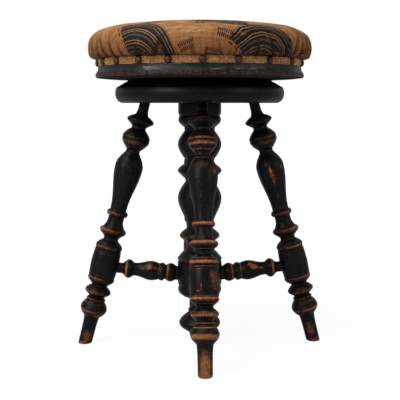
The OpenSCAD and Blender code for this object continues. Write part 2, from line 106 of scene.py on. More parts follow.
# %% Camera
LENS_MM = 78.3
CAMERA_DISTANCE = 1.3834
CAMERA_TURN = math.radians(2.5)
CAMERA_PITCH = math.radians(6.362)
CAMERA_SIDESTEP = 0.5 * MM

base_top_under = foot_of("base_top")
camera = add_object("camera", bpy.data.cameras.new("camera"))
camera.data.lens = LENS_MM
camera.location = Matrix.Rotation(-CAMERA_TURN, 3, "Z") @ Vector(
    (CAMERA_SIDESTEP, -CAMERA_DISTANCE, base_top_under))
camera.rotation_euler = (math.pi / 2 - CAMERA_PITCH, 0, -CAMERA_TURN)
bpy.context.scene.camera = camera
print("camera at", tuple(round(x, 4) for x in camera.location))

# %% [markdown]
# ## A bench for nodes
#
# Materials, the world and Geometry Nodes are all node trees. Adding each node
# by hand takes many lines, so one small class adds any node from its type,
# its settings and the values or wires of its sockets. A second class wraps an
# output socket and overloads the arithmetic signs, so that a mask can be
# written as a plain sum and the Math nodes add themselves.

# %% Wires
def pick(sockets, key):
    """A node's socket by its number, its identifier or its name."""
    if isinstance(key, int):
        return sockets[key]
    return next(s for s in sockets if s.enabled and key in (s.identifier, s.name))


class Wire:
    """An output socket. A sum with it adds a Math node to its tree."""

    def __init__(self, bench, socket):
        self.bench, self.socket = bench, socket

    def output(self, key):
        return Wire(self.bench, pick(self.socket.node.outputs, key))

    def sum(self, operation, *values):
        return self.bench.add("ShaderNodeMath", {"operation": operation}, dict(enumerate(values)))

    def __add__(self, other):
        return self.sum("ADD", self, other)

    def __sub__(self, other):
        return self.sum("SUBTRACT", self, other)

    def __rsub__(self, other):
        return self.sum("SUBTRACT", other, self)

    def __mul__(self, other):
        return self.sum("MULTIPLY", self, other)

    def __truediv__(self, other):
        return self.sum("DIVIDE", self, other)

    def __gt__(self, other):
        return self.sum("GREATER_THAN", self, other)

    def __lt__(self, other):
        return self.sum("LESS_THAN", self, other)

    def larger(self, other):
        return self.sum("MAXIMUM", self, other)

    def size(self):
        return self.sum("ABSOLUTE", self)

    __radd__ = __add__
    __rmul__ = __mul__


print("a wire knows:", ", ".join(name for name in vars(Wire) if name[0] != "_"))

# %% Benches
class Bench:
    """A node tree, emptied, with a method that adds any node and short ones for common nodes."""

    def __init__(self, tree):
        self.tree = tree
        tree.nodes.clear()

    def add(self, kind, settings=None, sockets=None):
        node = self.tree.nodes.new(kind)
        for name, value in (settings or {}).items():
            if name == "stops":
                self.set_stops(node.color_ramp, value)
            else:
                setattr(node, name, value)
        for key, value in (sockets or {}).items():
            end = pick(node.inputs, key)
            if isinstance(value, Wire):
                self.tree.links.new(value.socket, end)
            elif end.type == "RGBA":
                end.default_value = (*value[:3], 1)
            else:
                end.default_value = value
        usable = [s for s in node.outputs if s.enabled]
        return Wire(self, usable[0]) if usable else None

    @staticmethod
    def set_stops(ramp, stops):
        ramp.interpolation = "CONSTANT"
        while len(ramp.elements) < len(stops):
            ramp.elements.new(1.0)
        for element, (place, shade) in zip(ramp.elements, stops):
            element.position, element.color = place, (shade, shade, shade, 1)

    def join(self, x, y, z):
        """One vector from three numbers."""
        return self.add("ShaderNodeCombineXYZ", {}, {"X": x, "Y": y, "Z": z})

    def split(self, vector):
        """A vector's numbers: the wire itself is X, and its outputs Y and Z are the others."""
        return self.add("ShaderNodeSeparateXYZ", {}, {0: vector})

    def object_place(self):
        """Where a point lies in the object's own coordinates."""
        return self.add("ShaderNodeTexCoord").output("Object")

    def blend(self, share, first, second):
        """A colour between two colours."""
        return self.add(
            "ShaderNodeMix", {"data_type": "RGBA"},
            {"Factor_Float": share, "A_Color": first, "B_Color": second}).output("Result_Color")

    def climb(self, value, low, high, start=0.0, end=1.0):
        """A smooth climb from start to end while value goes from low to high."""
        return self.add(
            "ShaderNodeMapRange", {"interpolation_type": "SMOOTHSTEP"},
            {"Value": value, "From Min": low, "From Max": high, "To Min": start, "To Max": end})

    def cloud(self, place, scale, detail=3.0, roughness=0.55, stretch=(1, 1, 1), shift=0.0):
        """Noise from 0 to 1 with patches about 1/scale metres wide."""
        stretched = self.add("ShaderNodeMapping", {},
                             {"Vector": place, "Scale": stretch, "Location": (shift, shift, shift)})
        return self.add("ShaderNodeTexNoise", {},
                        {"Vector": stretched, "Scale": scale, "Detail": detail,
                         "Roughness": roughness})


def new_finish(name):
    """A material and its bench."""
    material = bpy.data.materials.new(name)
    material.use_nodes = True
    return material, Bench(material.node_tree)


def put_on(bench, colour, roughness, bumps=(), **fixed):
    """Ends a material: bumps are (height, distance) pairs, coarse ones first."""
    normal = None
    for height, distance in bumps:
        sockets = {"Height": height, "Distance": distance, "Strength": 1.0}
        if normal is not None:
            sockets["Normal"] = normal
        normal = bench.add("ShaderNodeBump", {}, sockets)
    sockets = {"Base Color": colour, "Roughness": roughness}
    if normal is not None:
        sockets["Normal"] = normal
    sockets.update({key.replace("_", " "): value for key, value in fixed.items()})
    skin = bench.add("ShaderNodeBsdfPrincipled", {}, sockets)
    bench.add("ShaderNodeOutputMaterial", {}, {"Surface": skin})


print("a bench knows:", ", ".join(name for name in vars(Bench) if name[0] != "_"))

# %% [markdown]
# ## Studio
#
# The photograph is taken on white, with soft light from all round. A white
# world alone would wash out the black polish, so the world is white only
# where the camera sees it, and it lights the stool more weakly.
# Soft area lamps above and in front give the shapes their form. The floor
# is pale where the stool's shadow falls and turns pure white further out.

# %% World and lamps
WORLD_LIGHT = 0.38
world = bpy.data.worlds.new("studio")
bpy.context.scene.world = world
world.use_nodes = True
sky = Bench(world.node_tree)
ray = sky.add("ShaderNodeLightPath")
shows_white = ray.output("Is Camera Ray").larger(ray.output("Is Transmission Ray"))
sky_light = sky.add("ShaderNodeBackground", {}, {
    "Color": (1, 1, 1), "Strength": shows_white * (1 - WORLD_LIGHT) + WORLD_LIGHT})
sky.add("ShaderNodeOutputWorld", {}, {"Surface": sky_light})
bpy.context.scene.view_settings.view_transform = "Standard"


def add_lamp(name, place, aim, width, power):
    """A square soft box that faces a point."""
    lamp = bpy.data.lights.new(name, "AREA")
    lamp.size, lamp.energy = width, power
    holder = add_object(name, lamp)
    holder.location = place
    holder.rotation_euler = (Vector(aim) - Vector(place)).to_track_quat("-Z", "Y").to_euler()


SEAT_AIM = (0, 0, 0.4)
add_lamp("overhead", (-0.6, -0.5, 2.0), SEAT_AIM, 1.5, 22)
add_lamp("front_left", (-1.6, -1.5, 1.2), SEAT_AIM, 1.1, 20)
add_lamp("front_right", (1.8, -1.2, 1.0), SEAT_AIM, 1.0, 6)
print("lamps:", len(bpy.data.lights))

# %% Floor
FLOOR_RADIUS = 9.0
FLOOR_GREY = (0.62, 0.62, 0.62)
floor_finish, paper = new_finish("floor_paper")
distance = paper.add("ShaderNodeVectorMath", {"operation": "LENGTH"},
                     {0: paper.object_place()}).output("Value")
seen = paper.add("ShaderNodeLightPath")
far_white = paper.climb(distance, 0.3, 1.6, 0.90, 1.0) * seen.output("Is Camera Ray")
matt = paper.add("ShaderNodeBsdfDiffuse", {}, {"Color": FLOOR_GREY})
glow = paper.add("ShaderNodeEmission", {}, {"Color": (1, 1, 1), "Strength": 1.05})
paper.add("ShaderNodeOutputMaterial", {}, {
    "Surface": paper.add("ShaderNodeMixShader", {}, {0: far_white, 1: matt, 2: glow})})
floor_mesh = bpy.data.meshes.new("floor")
disc = bmesh.new()
bmesh.ops.create_circle(disc, cap_ends=True, segments=96, radius=FLOOR_RADIUS)
disc.to_mesh(floor_mesh)
disc.free()
floor_mesh.materials.append(floor_finish)
floor = add_object("floor", floor_mesh)
floor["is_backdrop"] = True
print("floor:", 2 * FLOOR_RADIUS, "m across")

# %% [markdown]
# ## Reading a turning off the CAD model
#
# Every leg, stretcher and column was made on a lathe, so its whole shape is
# one outline spun round an axis. The CAD node already has that outline, cut
# into a few straight steps. It could be typed in again here, but then two
# files would have to agree. Instead the rings of vertices are read back from
# the node: points with the same place along the axis and the same radius.
# The way the faces round a ring look, outward or inward, tells an outside
# ring from one inside a bored hole.

# %% Rings of a turned node
RING_POINTS = 24  # A level with fewer corners than this is no full ring
RING_GAP = 0.005 * MM


def split_where(order, values, gap):
    """Cuts an ordered list of indices where the next value jumps."""
    cuts = np.nonzero(np.diff(values[order]) > gap)[0] + 1
    return np.split(order, cuts)


def read_rings(node, matrix):
    """(place, radius) of a node's outside rings and of its bored ones, up the axis."""
    mesh = frame["nodes"][node].data
    corners = np.empty(len(mesh.vertices) * 3)
    mesh.vertices.foreach_get("co", corners)
    faces = np.empty(len(mesh.polygons) * 3, int)
    mesh.polygons.foreach_get("vertices", faces)
    corners = corners.reshape(-1, 3)[faces]
    back = np.array(matrix.inverted())
    corners = corners @ back[:3, :3].T + back[:3, 3]
    tri = corners.reshape(-1, 3, 3)
    normal = np.cross(tri[:, 1] - tri[:, 0], tri[:, 2] - tri[:, 0])
    normal /= np.linalg.norm(normal, axis=1, keepdims=True) + 1e-12
    normal = np.repeat(normal, 3, axis=0)
    along = corners[:, 2]
    radius = np.hypot(corners[:, 0], corners[:, 1])
    looks = (normal[:, :2] * corners[:, :2]).sum(1) / np.maximum(radius, 1e-9)
    angle = np.round(np.degrees(np.arctan2(corners[:, 1], corners[:, 0])), 1)
    outside, bored = [], []
    for level in split_where(np.argsort(along), along, RING_GAP):
        level = level[np.argsort(radius[level])]
        for ring in split_where(level, radius, RING_GAP):
            if len(np.unique(angle[ring])) < RING_POINTS:
                continue
            found = (along[ring].mean(), radius[ring].mean())
            (outside if looks[ring].mean() > 0 else bored).append(found)
    return in_path_order(outside), in_path_order(bored)


def in_path_order(rings):
    """Up the axis. Where two rings share a level, the one next to the last comes first."""
    path = []
    for place, radius in sorted(rings):
        level = [p for p in path if abs(p[0] - place) < RING_GAP]
        before = path[-len(level) - 1] if len(path) > len(level) else None
        path.append((place, radius))
        if level and before is not None:
            tail = sorted(level + [(place, radius)], key=lambda p: abs(p[1] - before[1]))
            path[-len(tail):] = tail
    return path


def capped(rings):
    """Rings closed on the axis at both ends."""
    return [(rings[0][0], 0), *rings, (rings[-1][0], 0)]


UPRIGHT = Matrix.Identity(4)
print("rings on the column:", [len(rings) for rings in read_rings("centre_column", UPRIGHT)])

# %% [markdown]
# The column stands upright, but the legs lean and the stretchers slope, so
# the rings of each are read along its own axis. A leg's axis runs from its
# foot to its place under the base top. A stretcher's is the direction in
# which its points are spread the furthest.

# %% Axes of the turnings
LEG_TOP_REACH = 86.3 * MM
SIDES = ("front", "right", "back", "left")
feet = {m["name"][5:]: m["pos_m"] for m in frame["record"]["mounts"]}


def leg_frame(foot):
    """The axis of a leg, from the foot's mount: +Z up the leg, +X away from the column."""
    reach = math.hypot(foot[0], foot[1])
    lean = math.atan2(reach - LEG_TOP_REACH, base_top_under)
    turn = Matrix.Rotation(math.atan2(foot[1], foot[0]), 4, "Z")
    top = Matrix.Translation((LEG_TOP_REACH, 0, base_top_under))
    return turn @ top @ Matrix.Rotation(-lean, 4, "Y")


def long_axis(node):
    """The axis of a stretcher, from its own points: +Z outwards, +X to the upper side."""
    points = np.unique(np.round([v.co for v in frame["nodes"][node].data.vertices], 6), axis=0)
    middle = points.mean(0)
    axis = Vector(np.linalg.svd(points - middle, full_matrices=False)[2][0])
    if axis.dot(Vector(middle)) < 0:
        axis = -axis
    upper = (Vector((0, 0, 1)) - axis * axis.z).normalized()
    turn = Matrix((upper, axis.cross(upper), axis)).transposed().to_4x4()
    return Matrix.Translation(Vector(middle)) @ turn


leg_rings, _ = read_rings("leg_front", leg_frame(feet["front"]))
print("rings on a leg:", len(leg_rings))

# %% [markdown]
# ## Smoothing the outline
#
# Straight steps would catch the light as facets. A curve through the rings
# (a Hermite curve) rounds them again, but it must not round a corner that the
# turner cut sharp. So corners are found by their angle first, the curve runs
# from corner to corner, and each corner is eased by a third of a millimetre,
# which is what old polish and handling do to an edge.

# %% From rings to a smooth outline
CORNER = math.radians(34)
LONGEST_STEP = 2.0 * MM
LARGEST_TURN = math.radians(9)
EASED = 0.35 * MM


def turn_at(points, i):
    before, after = points[i] - points[i - 1], points[i + 1] - points[i]
    return abs(before.angle_signed(after, 0.0))


def way_through(points, i):
    """The direction of the curve at a point, closer to that of the shorter side."""
    before, after = points[i] - points[i - 1], points[i + 1] - points[i]
    return (before.normalized() * after.length + after.normalized() * before.length).normalized()


def curve_point(b, c, leave, arrive, u):
    """A point of the curve from b to c that leaves and arrives in given directions."""
    size = (c - b).length
    return ((2 * u ** 3 - 3 * u ** 2 + 1) * b + (3 * u ** 2 - 2 * u ** 3) * c
            + (u ** 3 - 2 * u ** 2 + u) * size * leave + (u ** 3 - u ** 2) * size * arrive)


def smooth_outline(rings):
    """A fine outline as 2-D points (radius, place), with its corners eased."""
    points = [Vector((radius, place)) for place, radius in rings]
    last = len(points) - 1
    corner = [i in (0, last) or turn_at(points, i) > CORNER for i in range(last + 1)]
    fine = [points[0]]
    for i in range(last):
        b, c = points[i], points[i + 1]
        straight = (c - b).normalized()
        leave = straight if corner[i] else way_through(points, i)
        arrive = straight if corner[i + 1] else way_through(points, i + 1)
        bend = max(0 if corner[i] else turn_at(points, i),
                   0 if corner[i + 1] else turn_at(points, i + 1))
        steps = max(1, math.ceil((c - b).length / LONGEST_STEP), math.ceil(bend / LARGEST_TURN))
        fine += [curve_point(b, c, leave, arrive, k / steps) for k in range(1, steps)]
        if corner[i + 1] and i + 1 < last:
            e = points[i + 2]
            cut = min(EASED, (c - b).length / 3, (e - c).length / 3)
            start, end = c + (b - c).normalized() * cut, c + (e - c).normalized() * cut
            fine += [start, (start + 2 * c + end) / 4, end]
        else:
            fine.append(c)
    return fine


def edge_shapes(outline, reach):
    """How far each point stands out from (+) or lies behind (-) its neighbours, in millimetres."""
    place = np.cumsum([0] + [(b - a).length for a, b in zip(outline, outline[1:])])
    radius = np.array([p.x for p in outline])
    height = np.array([p.y for p in outline])
    out = np.zeros(len(outline))
    for way in (-1, 1):
        out += (radius - np.interp(place + way * reach, place, radius)) / 2
    return out / MM, height


print("points on a leg's outline:", len(smooth_outline(leg_rings)))

# %% [markdown]
# ## A lathe made of Geometry Nodes
#
# A Screw modifier could spin the outline, but it would lose the wear that is
# worked out for each point of it. This tree makes a grid with one row for
# each point of the outline, looks up that point by its row number, and bends
# the row into a circle. A little noise makes the surface as uneven as hand
# polish is. The tree's inputs are the number of sides, the unevenness, a
# seed for it and the finish.

# %% Trees and what their points carry
FULL_TURN = 2 * math.pi


def new_tree(name, inputs):
    """A Geometry Nodes tree with named inputs. Returns it, its bench and its input node."""
    tree = bpy.data.node_groups.new(name, "GeometryNodeTree")
    for label, kind in (("Geometry", "Geometry"), *inputs):
        tree.interface.new_socket(label, in_out="INPUT", socket_type="NodeSocket" + kind)
    tree.interface.new_socket("Geometry", in_out="OUTPUT", socket_type="NodeSocketGeometry")
    bench = Bench(tree)
    return tree, bench, bench.add("NodeGroupInput")


def end_tree(bench, shape, finish):
    """Real faces, smooth shading and the finish, as the export needs them."""
    real = bench.add("GeometryNodeRealizeInstances", {}, {"Geometry": shape})
    soft = bench.add("GeometryNodeSetShadeSmooth", {}, {"Geometry": real, "Shade Smooth": True})
    dressed = bench.add("GeometryNodeSetMaterial", {}, {"Geometry": soft, "Material": finish})
    bench.add("NodeGroupOutput", {}, {"Geometry": dressed})


def named(bench, label, kind="FLOAT"):
    """Reads what the points carry under a name."""
    return bench.add("GeometryNodeInputNamedAttribute", {"data_type": kind}, {"Name": label})


def store(bench, shape, label, value, kind="FLOAT"):
    """Lets the points of a shape carry a value under a name."""
    return bench.add("GeometryNodeStoreNamedAttribute", {"data_type": kind, "domain": "POINT"},
                     {"Geometry": shape, "Name": label, "Value": value})


def carry(mesh, label, values):
    """Lets the points of a mesh outside a tree carry a list of numbers or of vectors."""
    values = np.array(values, np.float32)
    kind, column = ("FLOAT", "value") if values.ndim == 1 else ("FLOAT_VECTOR", "vector")
    mesh.attributes.new(label, kind, "POINT").data.foreach_set(column, values.ravel())


print("helpers for trees ready")

# %% The lathe tree
LUMP_SCALE = 45.0
lathe, b, given = new_tree("turn_on_lathe", (
    ("Sides", "Int"), ("Unevenness", "Float"), ("Seed", "Float"), ("Finish", "Material")))
sides = given.output("Sides")
rows = b.add("GeometryNodeAttributeDomainSize", {"component": "MESH"},
             {"Geometry": given}).output("Point Count")
grid = b.add("GeometryNodeMeshGrid", {}, {"Vertices X": rows, "Vertices Y": sides + 1})
index = b.add("GeometryNodeInputIndex")
row = index.sum("FLOOR", (index + 0.5) / (sides + 1))
angle = (index - row * (sides + 1)) * (-FULL_TURN) / sides


def look_up(kind, value):
    """A value of the outline at the row's number."""
    return b.add("GeometryNodeSampleIndex", {"data_type": kind, "domain": "POINT"},
                 {"Geometry": given, "Value": value, "Index": row})


spot = b.split(look_up("FLOAT_VECTOR", b.add("GeometryNodeInputPosition")))
ring = b.join(spot * angle.sum("COSINE", angle), spot * angle.sum("SINE", angle),
              spot.output("Z"))
shape = b.add("GeometryNodeSetPosition", {}, {"Geometry": grid, "Position": ring})
for label in ("wear", "hollow"):
    shape = store(b, shape, label, look_up("FLOAT", named(b, label)))
shape = store(b, shape, "lathe_place", ring, "FLOAT_VECTOR")
shape = b.add("GeometryNodeMergeByDistance", {}, {"Geometry": shape, "Distance": 0.001 * MM})
lump = b.add("ShaderNodeTexNoise", {"noise_dimensions": "4D"}, {
    "Vector": b.add("GeometryNodeInputPosition"), "W": given.output("Seed"),
    "Scale": LUMP_SCALE, "Detail": 2.0})
push = b.add("ShaderNodeVectorMath", {"operation": "SCALE"}, {
    0: b.add("GeometryNodeInputNormal"), "Scale": (lump - 0.5) * given.output("Unevenness")})
shape = b.add("GeometryNodeSetPosition", {}, {"Geometry": shape, "Offset": push})
end_tree(b, shape, given.output("Finish"))
print("lathe inputs:", [i.name for i in lathe.interface.items_tree if i.in_out == "INPUT"])

# %% [markdown]
# A tree only makes its shape while it hangs on an object as a modifier. Each
# input is set by its identifier, the shape is copied out as a plain mesh, and
# the modifier comes off again.

# %% From a tree to a plain mesh
def bake(name, mesh, tree, values):
    """Runs a tree on a mesh and returns the result as an object with a plain mesh."""
    piece = add_object(name, mesh)
    worker = piece.modifiers.new("build", "NODES")
    worker.node_group = tree
    for item in tree.interface.items_tree:
        if item.in_out == "INPUT" and item.name in values:
            worker[item.identifier] = values[item.name]
    bpy.context.view_layer.update()
    graph = bpy.context.evaluated_depsgraph_get()
    made = bpy.data.meshes.new_from_object(
        piece.evaluated_get(graph), preserve_all_data_layers=True, depsgraph=graph)
    piece.modifiers.clear()
    piece.data = made
    made.name = name
    made.materials.clear()
    made.materials.append(values["Finish"])
    return piece


print("ready to bake:", lathe.name)

# %% [markdown]
# ## Ebonised wood
#
# Ebonised wood is a pale wood stained black and polished. Where hands, feet
# and dusters rub, the black comes off the crests first: it thins to a dark
# brown halo, then to a deep red brown, and last the orange wood is bare, with
# its grain and some dirt in it, and most dirt close to the floor. A picture
# could be painted for each piece, but the wear follows the shape, so each
# turning carries a number called wear, and the finish compares it with noise.
# Grain runs along the axis, so the noise is stretched along it.

# %% Ebonised finish
BLACK = ((0.0019, 0.0020, 0.0021), (0.0064, 0.0061, 0.0059))
HALO = (0.042, 0.014, 0.007)
DEEP = (0.165, 0.046, 0.013)
BARE = ((0.23, 0.078, 0.024), (0.50, 0.215, 0.080))
GRIMED = (0.150, 0.082, 0.030)
DIRT = (0.045, 0.022, 0.011)
GRIME_TOP, GRIME_FULL = 55 * MM, 5 * MM


def stored(bench, label, output="Fac"):
    """A number or place that the mesh carries."""
    return bench.add("ShaderNodeAttribute", {"attribute_name": label}).output(output)


ebony, b = new_finish("ebonised_wood")
place = stored(b, "lathe_place", "Vector")
wear, hollow = stored(b, "wear"), stored(b, "hollow")
patch = b.cloud(place, 190, 4, 0.65)
fibre = b.cloud(place, 1300, 3, 0.6, (1, 1, 0.16))
speck = b.cloud(place, 560, 2, 0.5, (1, 1, 0.5), 3.0)
ragged = (patch - 0.5) * 0.70 * b.climb(wear, 0.1, 0.4, 0.5, 1.0)
rubbed = wear + ragged + (fibre - 0.5) * 0.60 - hollow * 0.4
halo = b.climb(rubbed, 0.26, 0.46)
deep = b.climb(rubbed, 0.42, 0.58)
bare = b.climb(rubbed, 0.56, 0.80)
chips = b.climb(speck + wear * 0.14, 0.765, 0.790)
deep = deep.larger(chips * 0.8)
black = b.blend(b.climb(patch, 0.35, 0.7), *BLACK)
wood = b.blend(b.climb(fibre, 0.3, 0.70), *BARE)
floor_near = b.climb(b.split(b.object_place()).output("Z"), GRIME_TOP, GRIME_FULL)
grime = b.climb(b.cloud(place, 70, 2), 0.40, 0.70)
wood = b.blend(grime * 0.45 + floor_near * 0.45, wood, GRIMED)
dirt = b.climb(b.cloud(place, 800, 3, 0.6, (1, 1, 0.35), 6.0), 0.52, 0.70)
wood = b.blend(dirt * 0.65, wood, DIRT)
colour = b.blend(bare, b.blend(deep, b.blend(halo, black, HALO), DEEP), wood)
rough = 0.36 + (patch - 0.5) * 0.12 + deep * 0.18 + hollow * 0.10
put_on(b, colour, rough, ((fibre * (0.35 + deep), 0.12 * MM), (patch, 0.12 * MM)),
       Specular_IOR_Level=0.15)
print("ebonised finish nodes:", len(ebony.node_tree.nodes))

# %% [markdown]
# ## Wear on a turning
#
# Two things decide how worn a point is: how far it stands out of the outline,
# and where the piece is touched. The first is measured on the outline. The
# second is a short table for each piece, read off the photograph: the lower
# legs are kicked, the stretchers carry feet, the upper parts are hardly
# touched. Beads that are rubbed all round get a worn band, and the fine lines
# beside them are cut into the outline, as a turner scores them. Single rubbed
# places, such as the tops of the stretchers, are added one by one afterwards,
# each as a soft oval. All these tables are in millimetres and degrees.

# %% Lines scored into an outline
GROOVE_HALF = 0.55 * MM
GROOVE_DEEP = 0.45 * MM
GROOVE_STEPS = (-1.6, -0.8, 0, 0.8, 1.6)


def cut_at(outline, places):
    """Adds points to an outline where it passes the given places."""
    finer = [outline[0]]
    for a, b in zip(outline, outline[1:]):
        inside = [t for t in places if min(a.y, b.y) < t < max(a.y, b.y)]
        finer += [a.lerp(b, (t - a.y) / (b.y - a.y)) for t in sorted(inside, reverse=a.y > b.y)]
        finer.append(b)
    return finer


def score(outline, grooves):
    """Cuts the fine lines that a turner scores with the point of the chisel."""
    outline = cut_at(outline, [at + k * GROOVE_HALF for at in grooves for k in GROOVE_STEPS])
    for point in outline:
        if point.x > GROOVE_DEEP:
            shares = (math.exp(-((point.y - at) / GROOVE_HALF) ** 2) for at in grooves)
            point.x -= GROOVE_DEEP * sum(shares)
    return outline


print("a scored line is", 2 * GROOVE_HALF / MM, "mm wide and", GROOVE_DEEP / MM, "mm deep")

# %% Turning a piece
EDGE_REACH = 3.4 * MM
FULL_EDGE = 1.7
BAND_STEPS = (-1.4, -0.7, 0, 0.7, 1.4)


def turn_piece(name, rings, matrix, touch=((0, 0),), sides=80, unevenness=0.22 * MM, seed=0.0,
               finish=ebony, facing=0.0, spots=(), bands=(), grooves=()):
    """Spins an outline, works out its wear, and lays it on its axis.

    touch is a list of (place along the axis, share of wear), bands are worn
    all round: (place, half width, wear), grooves are scored lines, facing is
    how much more the side at +X is worn, and spots are soft ovals:
    (place, angle, half length, half width as an angle, wear)."""
    outline = score(smooth_outline(rings), [at * MM for at in grooves])
    outline = cut_at(outline, [(at + k * half) * MM for at, half, _ in bands for k in BAND_STEPS])
    out, height = edge_shapes(outline, EDGE_REACH)
    mesh = bpy.data.meshes.new(name + "_outline")
    mesh.from_pydata([(p.x, 0, p.y) for p in outline],
                     [(i, i + 1) for i in range(len(outline) - 1)], [])
    places, shares = zip(*sorted(touch))
    wear = np.clip(out / FULL_EDGE, 0, 1) * np.interp(height, [at * MM for at in places], shares)
    for at, half, amount in bands:
        wear = np.maximum(wear, amount * np.exp(-((height - at * MM) / (half * MM)) ** 2))
    carry(mesh, "wear", wear)
    carry(mesh, "hollow", np.clip(-out / FULL_EDGE, 0, 1))
    piece = bake(name, mesh, lathe, {
        "Sides": sides, "Unevenness": unevenness, "Seed": seed, "Finish": finish})
    add_spots(piece.data, facing, spots)
    piece.data.transform(matrix)
    return piece


def add_spots(mesh, facing, spots):
    """Turns wear to the touched side and adds the rubbed places."""
    count = len(mesh.vertices)
    place, wear = np.empty(count * 3, np.float32), np.empty(count, np.float32)
    mesh.attributes["lathe_place"].data.foreach_get("vector", place)
    mesh.attributes["wear"].data.foreach_get("value", wear)
    place = place.reshape(-1, 3)
    angle = np.degrees(np.arctan2(place[:, 1], place[:, 0]))
    wear *= 1 - facing + facing * np.cos(np.radians(angle))
    for along, round_at, half_length, half_width, amount in spots:
        aside = (angle - round_at + 180) % 360 - 180
        far = np.hypot((place[:, 2] - along * MM) / (half_length * MM), aside / half_width)
        wear = np.maximum(wear, amount * np.clip(1.35 - far, 0, 1))
    mesh.attributes["wear"].data.foreach_set("value", wear.astype(np.float32))


def dress(piece, body, slot, *nodes):
    """Attaches a new piece to its body and hides the CAD nodes it stands for. slot is not used."""
    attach(piece, body)
    if nodes:
        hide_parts(*nodes)
    print(piece.name, "faces:", len(piece.data.polygons))


print("a crest is fully worn", FULL_EDGE, "mm above its neighbours")

# %% [markdown]
# ## Legs
#
# A leg leans, so its foot is not cut square to its axis but level with the
# floor. The turning runs on past the floor and is then cut by a level plane,
# and the lower edge is rubbed round, as a dragged foot is.

# %% A foot cut level
FOOT_ROUND = 2.4 * MM
FOOT_CUTS = (0.4, 0.9, 1.6, 2.4)


def close_up(work, mesh):
    """Turns all faces outwards and writes the shape back to its mesh."""
    bmesh.ops.recalc_face_normals(work, faces=work.faces[:])
    work.to_mesh(mesh)
    work.free()


def cut_foot(mesh, centre):
    """Cuts a leg level with the floor and rounds its lower edge."""
    work = bmesh.new()
    work.from_mesh(mesh)
    for level in (0, *FOOT_CUTS):
        bmesh.ops.bisect_plane(work, geom=work.verts[:] + work.edges[:] + work.faces[:],
                               plane_co=(0, 0, level * MM), plane_no=(0, 0, 1),
                               clear_inner=level == 0)
    rim = [e for e in work.edges if e.is_boundary and max(v.co.z for v in e.verts) < FOOT_ROUND]
    bmesh.ops.edgeloop_fill(work, edges=rim)
    for v in work.verts:
        if v.co.z < FOOT_ROUND:
            drop = 1 - max(v.co.z, 0) / FOOT_ROUND
            inward = FOOT_ROUND * (1 - math.sqrt(1 - drop * drop))
            offset = Vector((v.co.x - centre[0], v.co.y - centre[1]))
            if offset.length > FOOT_ROUND:
                v.co.xy -= offset.normalized() * inward * 0.8
    close_up(work, mesh)


print("a foot's edge is rounded by", FOOT_ROUND / MM, "mm")

# %% Where the legs are worn
# Place along the leg from its top end, and share of wear
LEG_TOUCH = ((-420, 0.5), (-345, 0.8), (-285, 0.75), (-235, 0.75), (-180, 0.8), (-150, 0.3),
             (-90, 0.3), (-62, 0.35), (-35, 0.3), (0, 0.2), (30, 0.1))
# Place along the leg, half width and wear of the bands that are worn all round
LEG_BANDS = ((-25.5, 1.7, 0.54), (-55.5, 2.7, 0.64), (-63.3, 3.4, 0.72), (-71.6, 1.2, 0.60),
             (-83.8, 1.1, 0.50), (-180.0, 2.4, 0.82), (-207, 3.4, 0.80), (-217.5, 1.0, 0.58),
             (-230, 1.2, 0.60), (-235.8, 3.4, 0.82), (-242.5, 1.0, 0.56), (-287, 3.8, 0.84),
             (-295.5, 1.0, 0.52), (-307, 1.1, 0.56), (-312, 3.0, 0.78), (-318.5, 1.0, 0.52),
             (-329.3, 1.3, 0.76), (-342, 5.4, 0.84), (-351.8, 1.0, 0.50))
LEG_GROOVES = (-31, -50.5, -58.8, -67.5, -70.2, -84.8, -204.5, -216.2, -228.8, -231.6,
               -241.2, -245.5, -281.5, -293.8, -305.4, -317, -322.5, -328, -335, -350.4)
BAND_SHARE = {"front": 1.0, "right": 0.90, "back": 0.88, "left": 0.86}
BAND_WIDTH = {"front": 1.0, "right": 0.74, "back": 0.80, "left": 0.70}
FACING = {"front": 0.16, "right": 0.22, "back": 0.2, "left": 0.24}
# Place along the leg, angle, half length, half width as an angle, and wear
LEG_SPOTS = {
    "front": ((-262, 42, 25, 32, 0.48), (-255, 26, 13, 9, 0.48), (-268, 64, 16, 10, 0.54),
              (-271, -14, 9, 5, 0.64), (-246.5, -30, 2, 36, 0.52), (-277.5, -24, 2, 18, 0.56),
              (-94, 0, 9, 70, 0.36), (-104, 46, 10, 14, 0.58), (-99, 30, 4, 8, 0.50),
              (-140, -12, 10, 14, 0.42), (-158, 4, 9, 4, 0.46), (-386, 0, 34, 72, 0.70),
              (-402, 0, 14, 120, 0.76)),
    "right": ((-111, -98, 12, 8, 0.76), (-122, -94, 22, 18, 0.50), (-62, -90, 7, 44, 0.42),
              (-106, -46, 9, 10, 0.50), (-150, -88, 9, 6, 0.50), (-376, -98, 20, 50, 0.52),
              (-398, -90, 9, 90, 0.62)),
    "back": ((-380, 0, 22, 60, 0.55), (-62, 0, 6, 50, 0.5), (-110, 20, 12, 12, 0.5)),
    "left": ((-64, 80, 5, 70, 0.50), (-386, 96, 17, 56, 0.53), (-399, 90, 9, 90, 0.63),
             (-157, 122, 4, 6, 0.56), (-104, 90, 9, 18, 0.34), (-348, 130, 5, 50, 0.60)),
}
print("rubbed places:", {side: len(spots) for side, spots in LEG_SPOTS.items()})

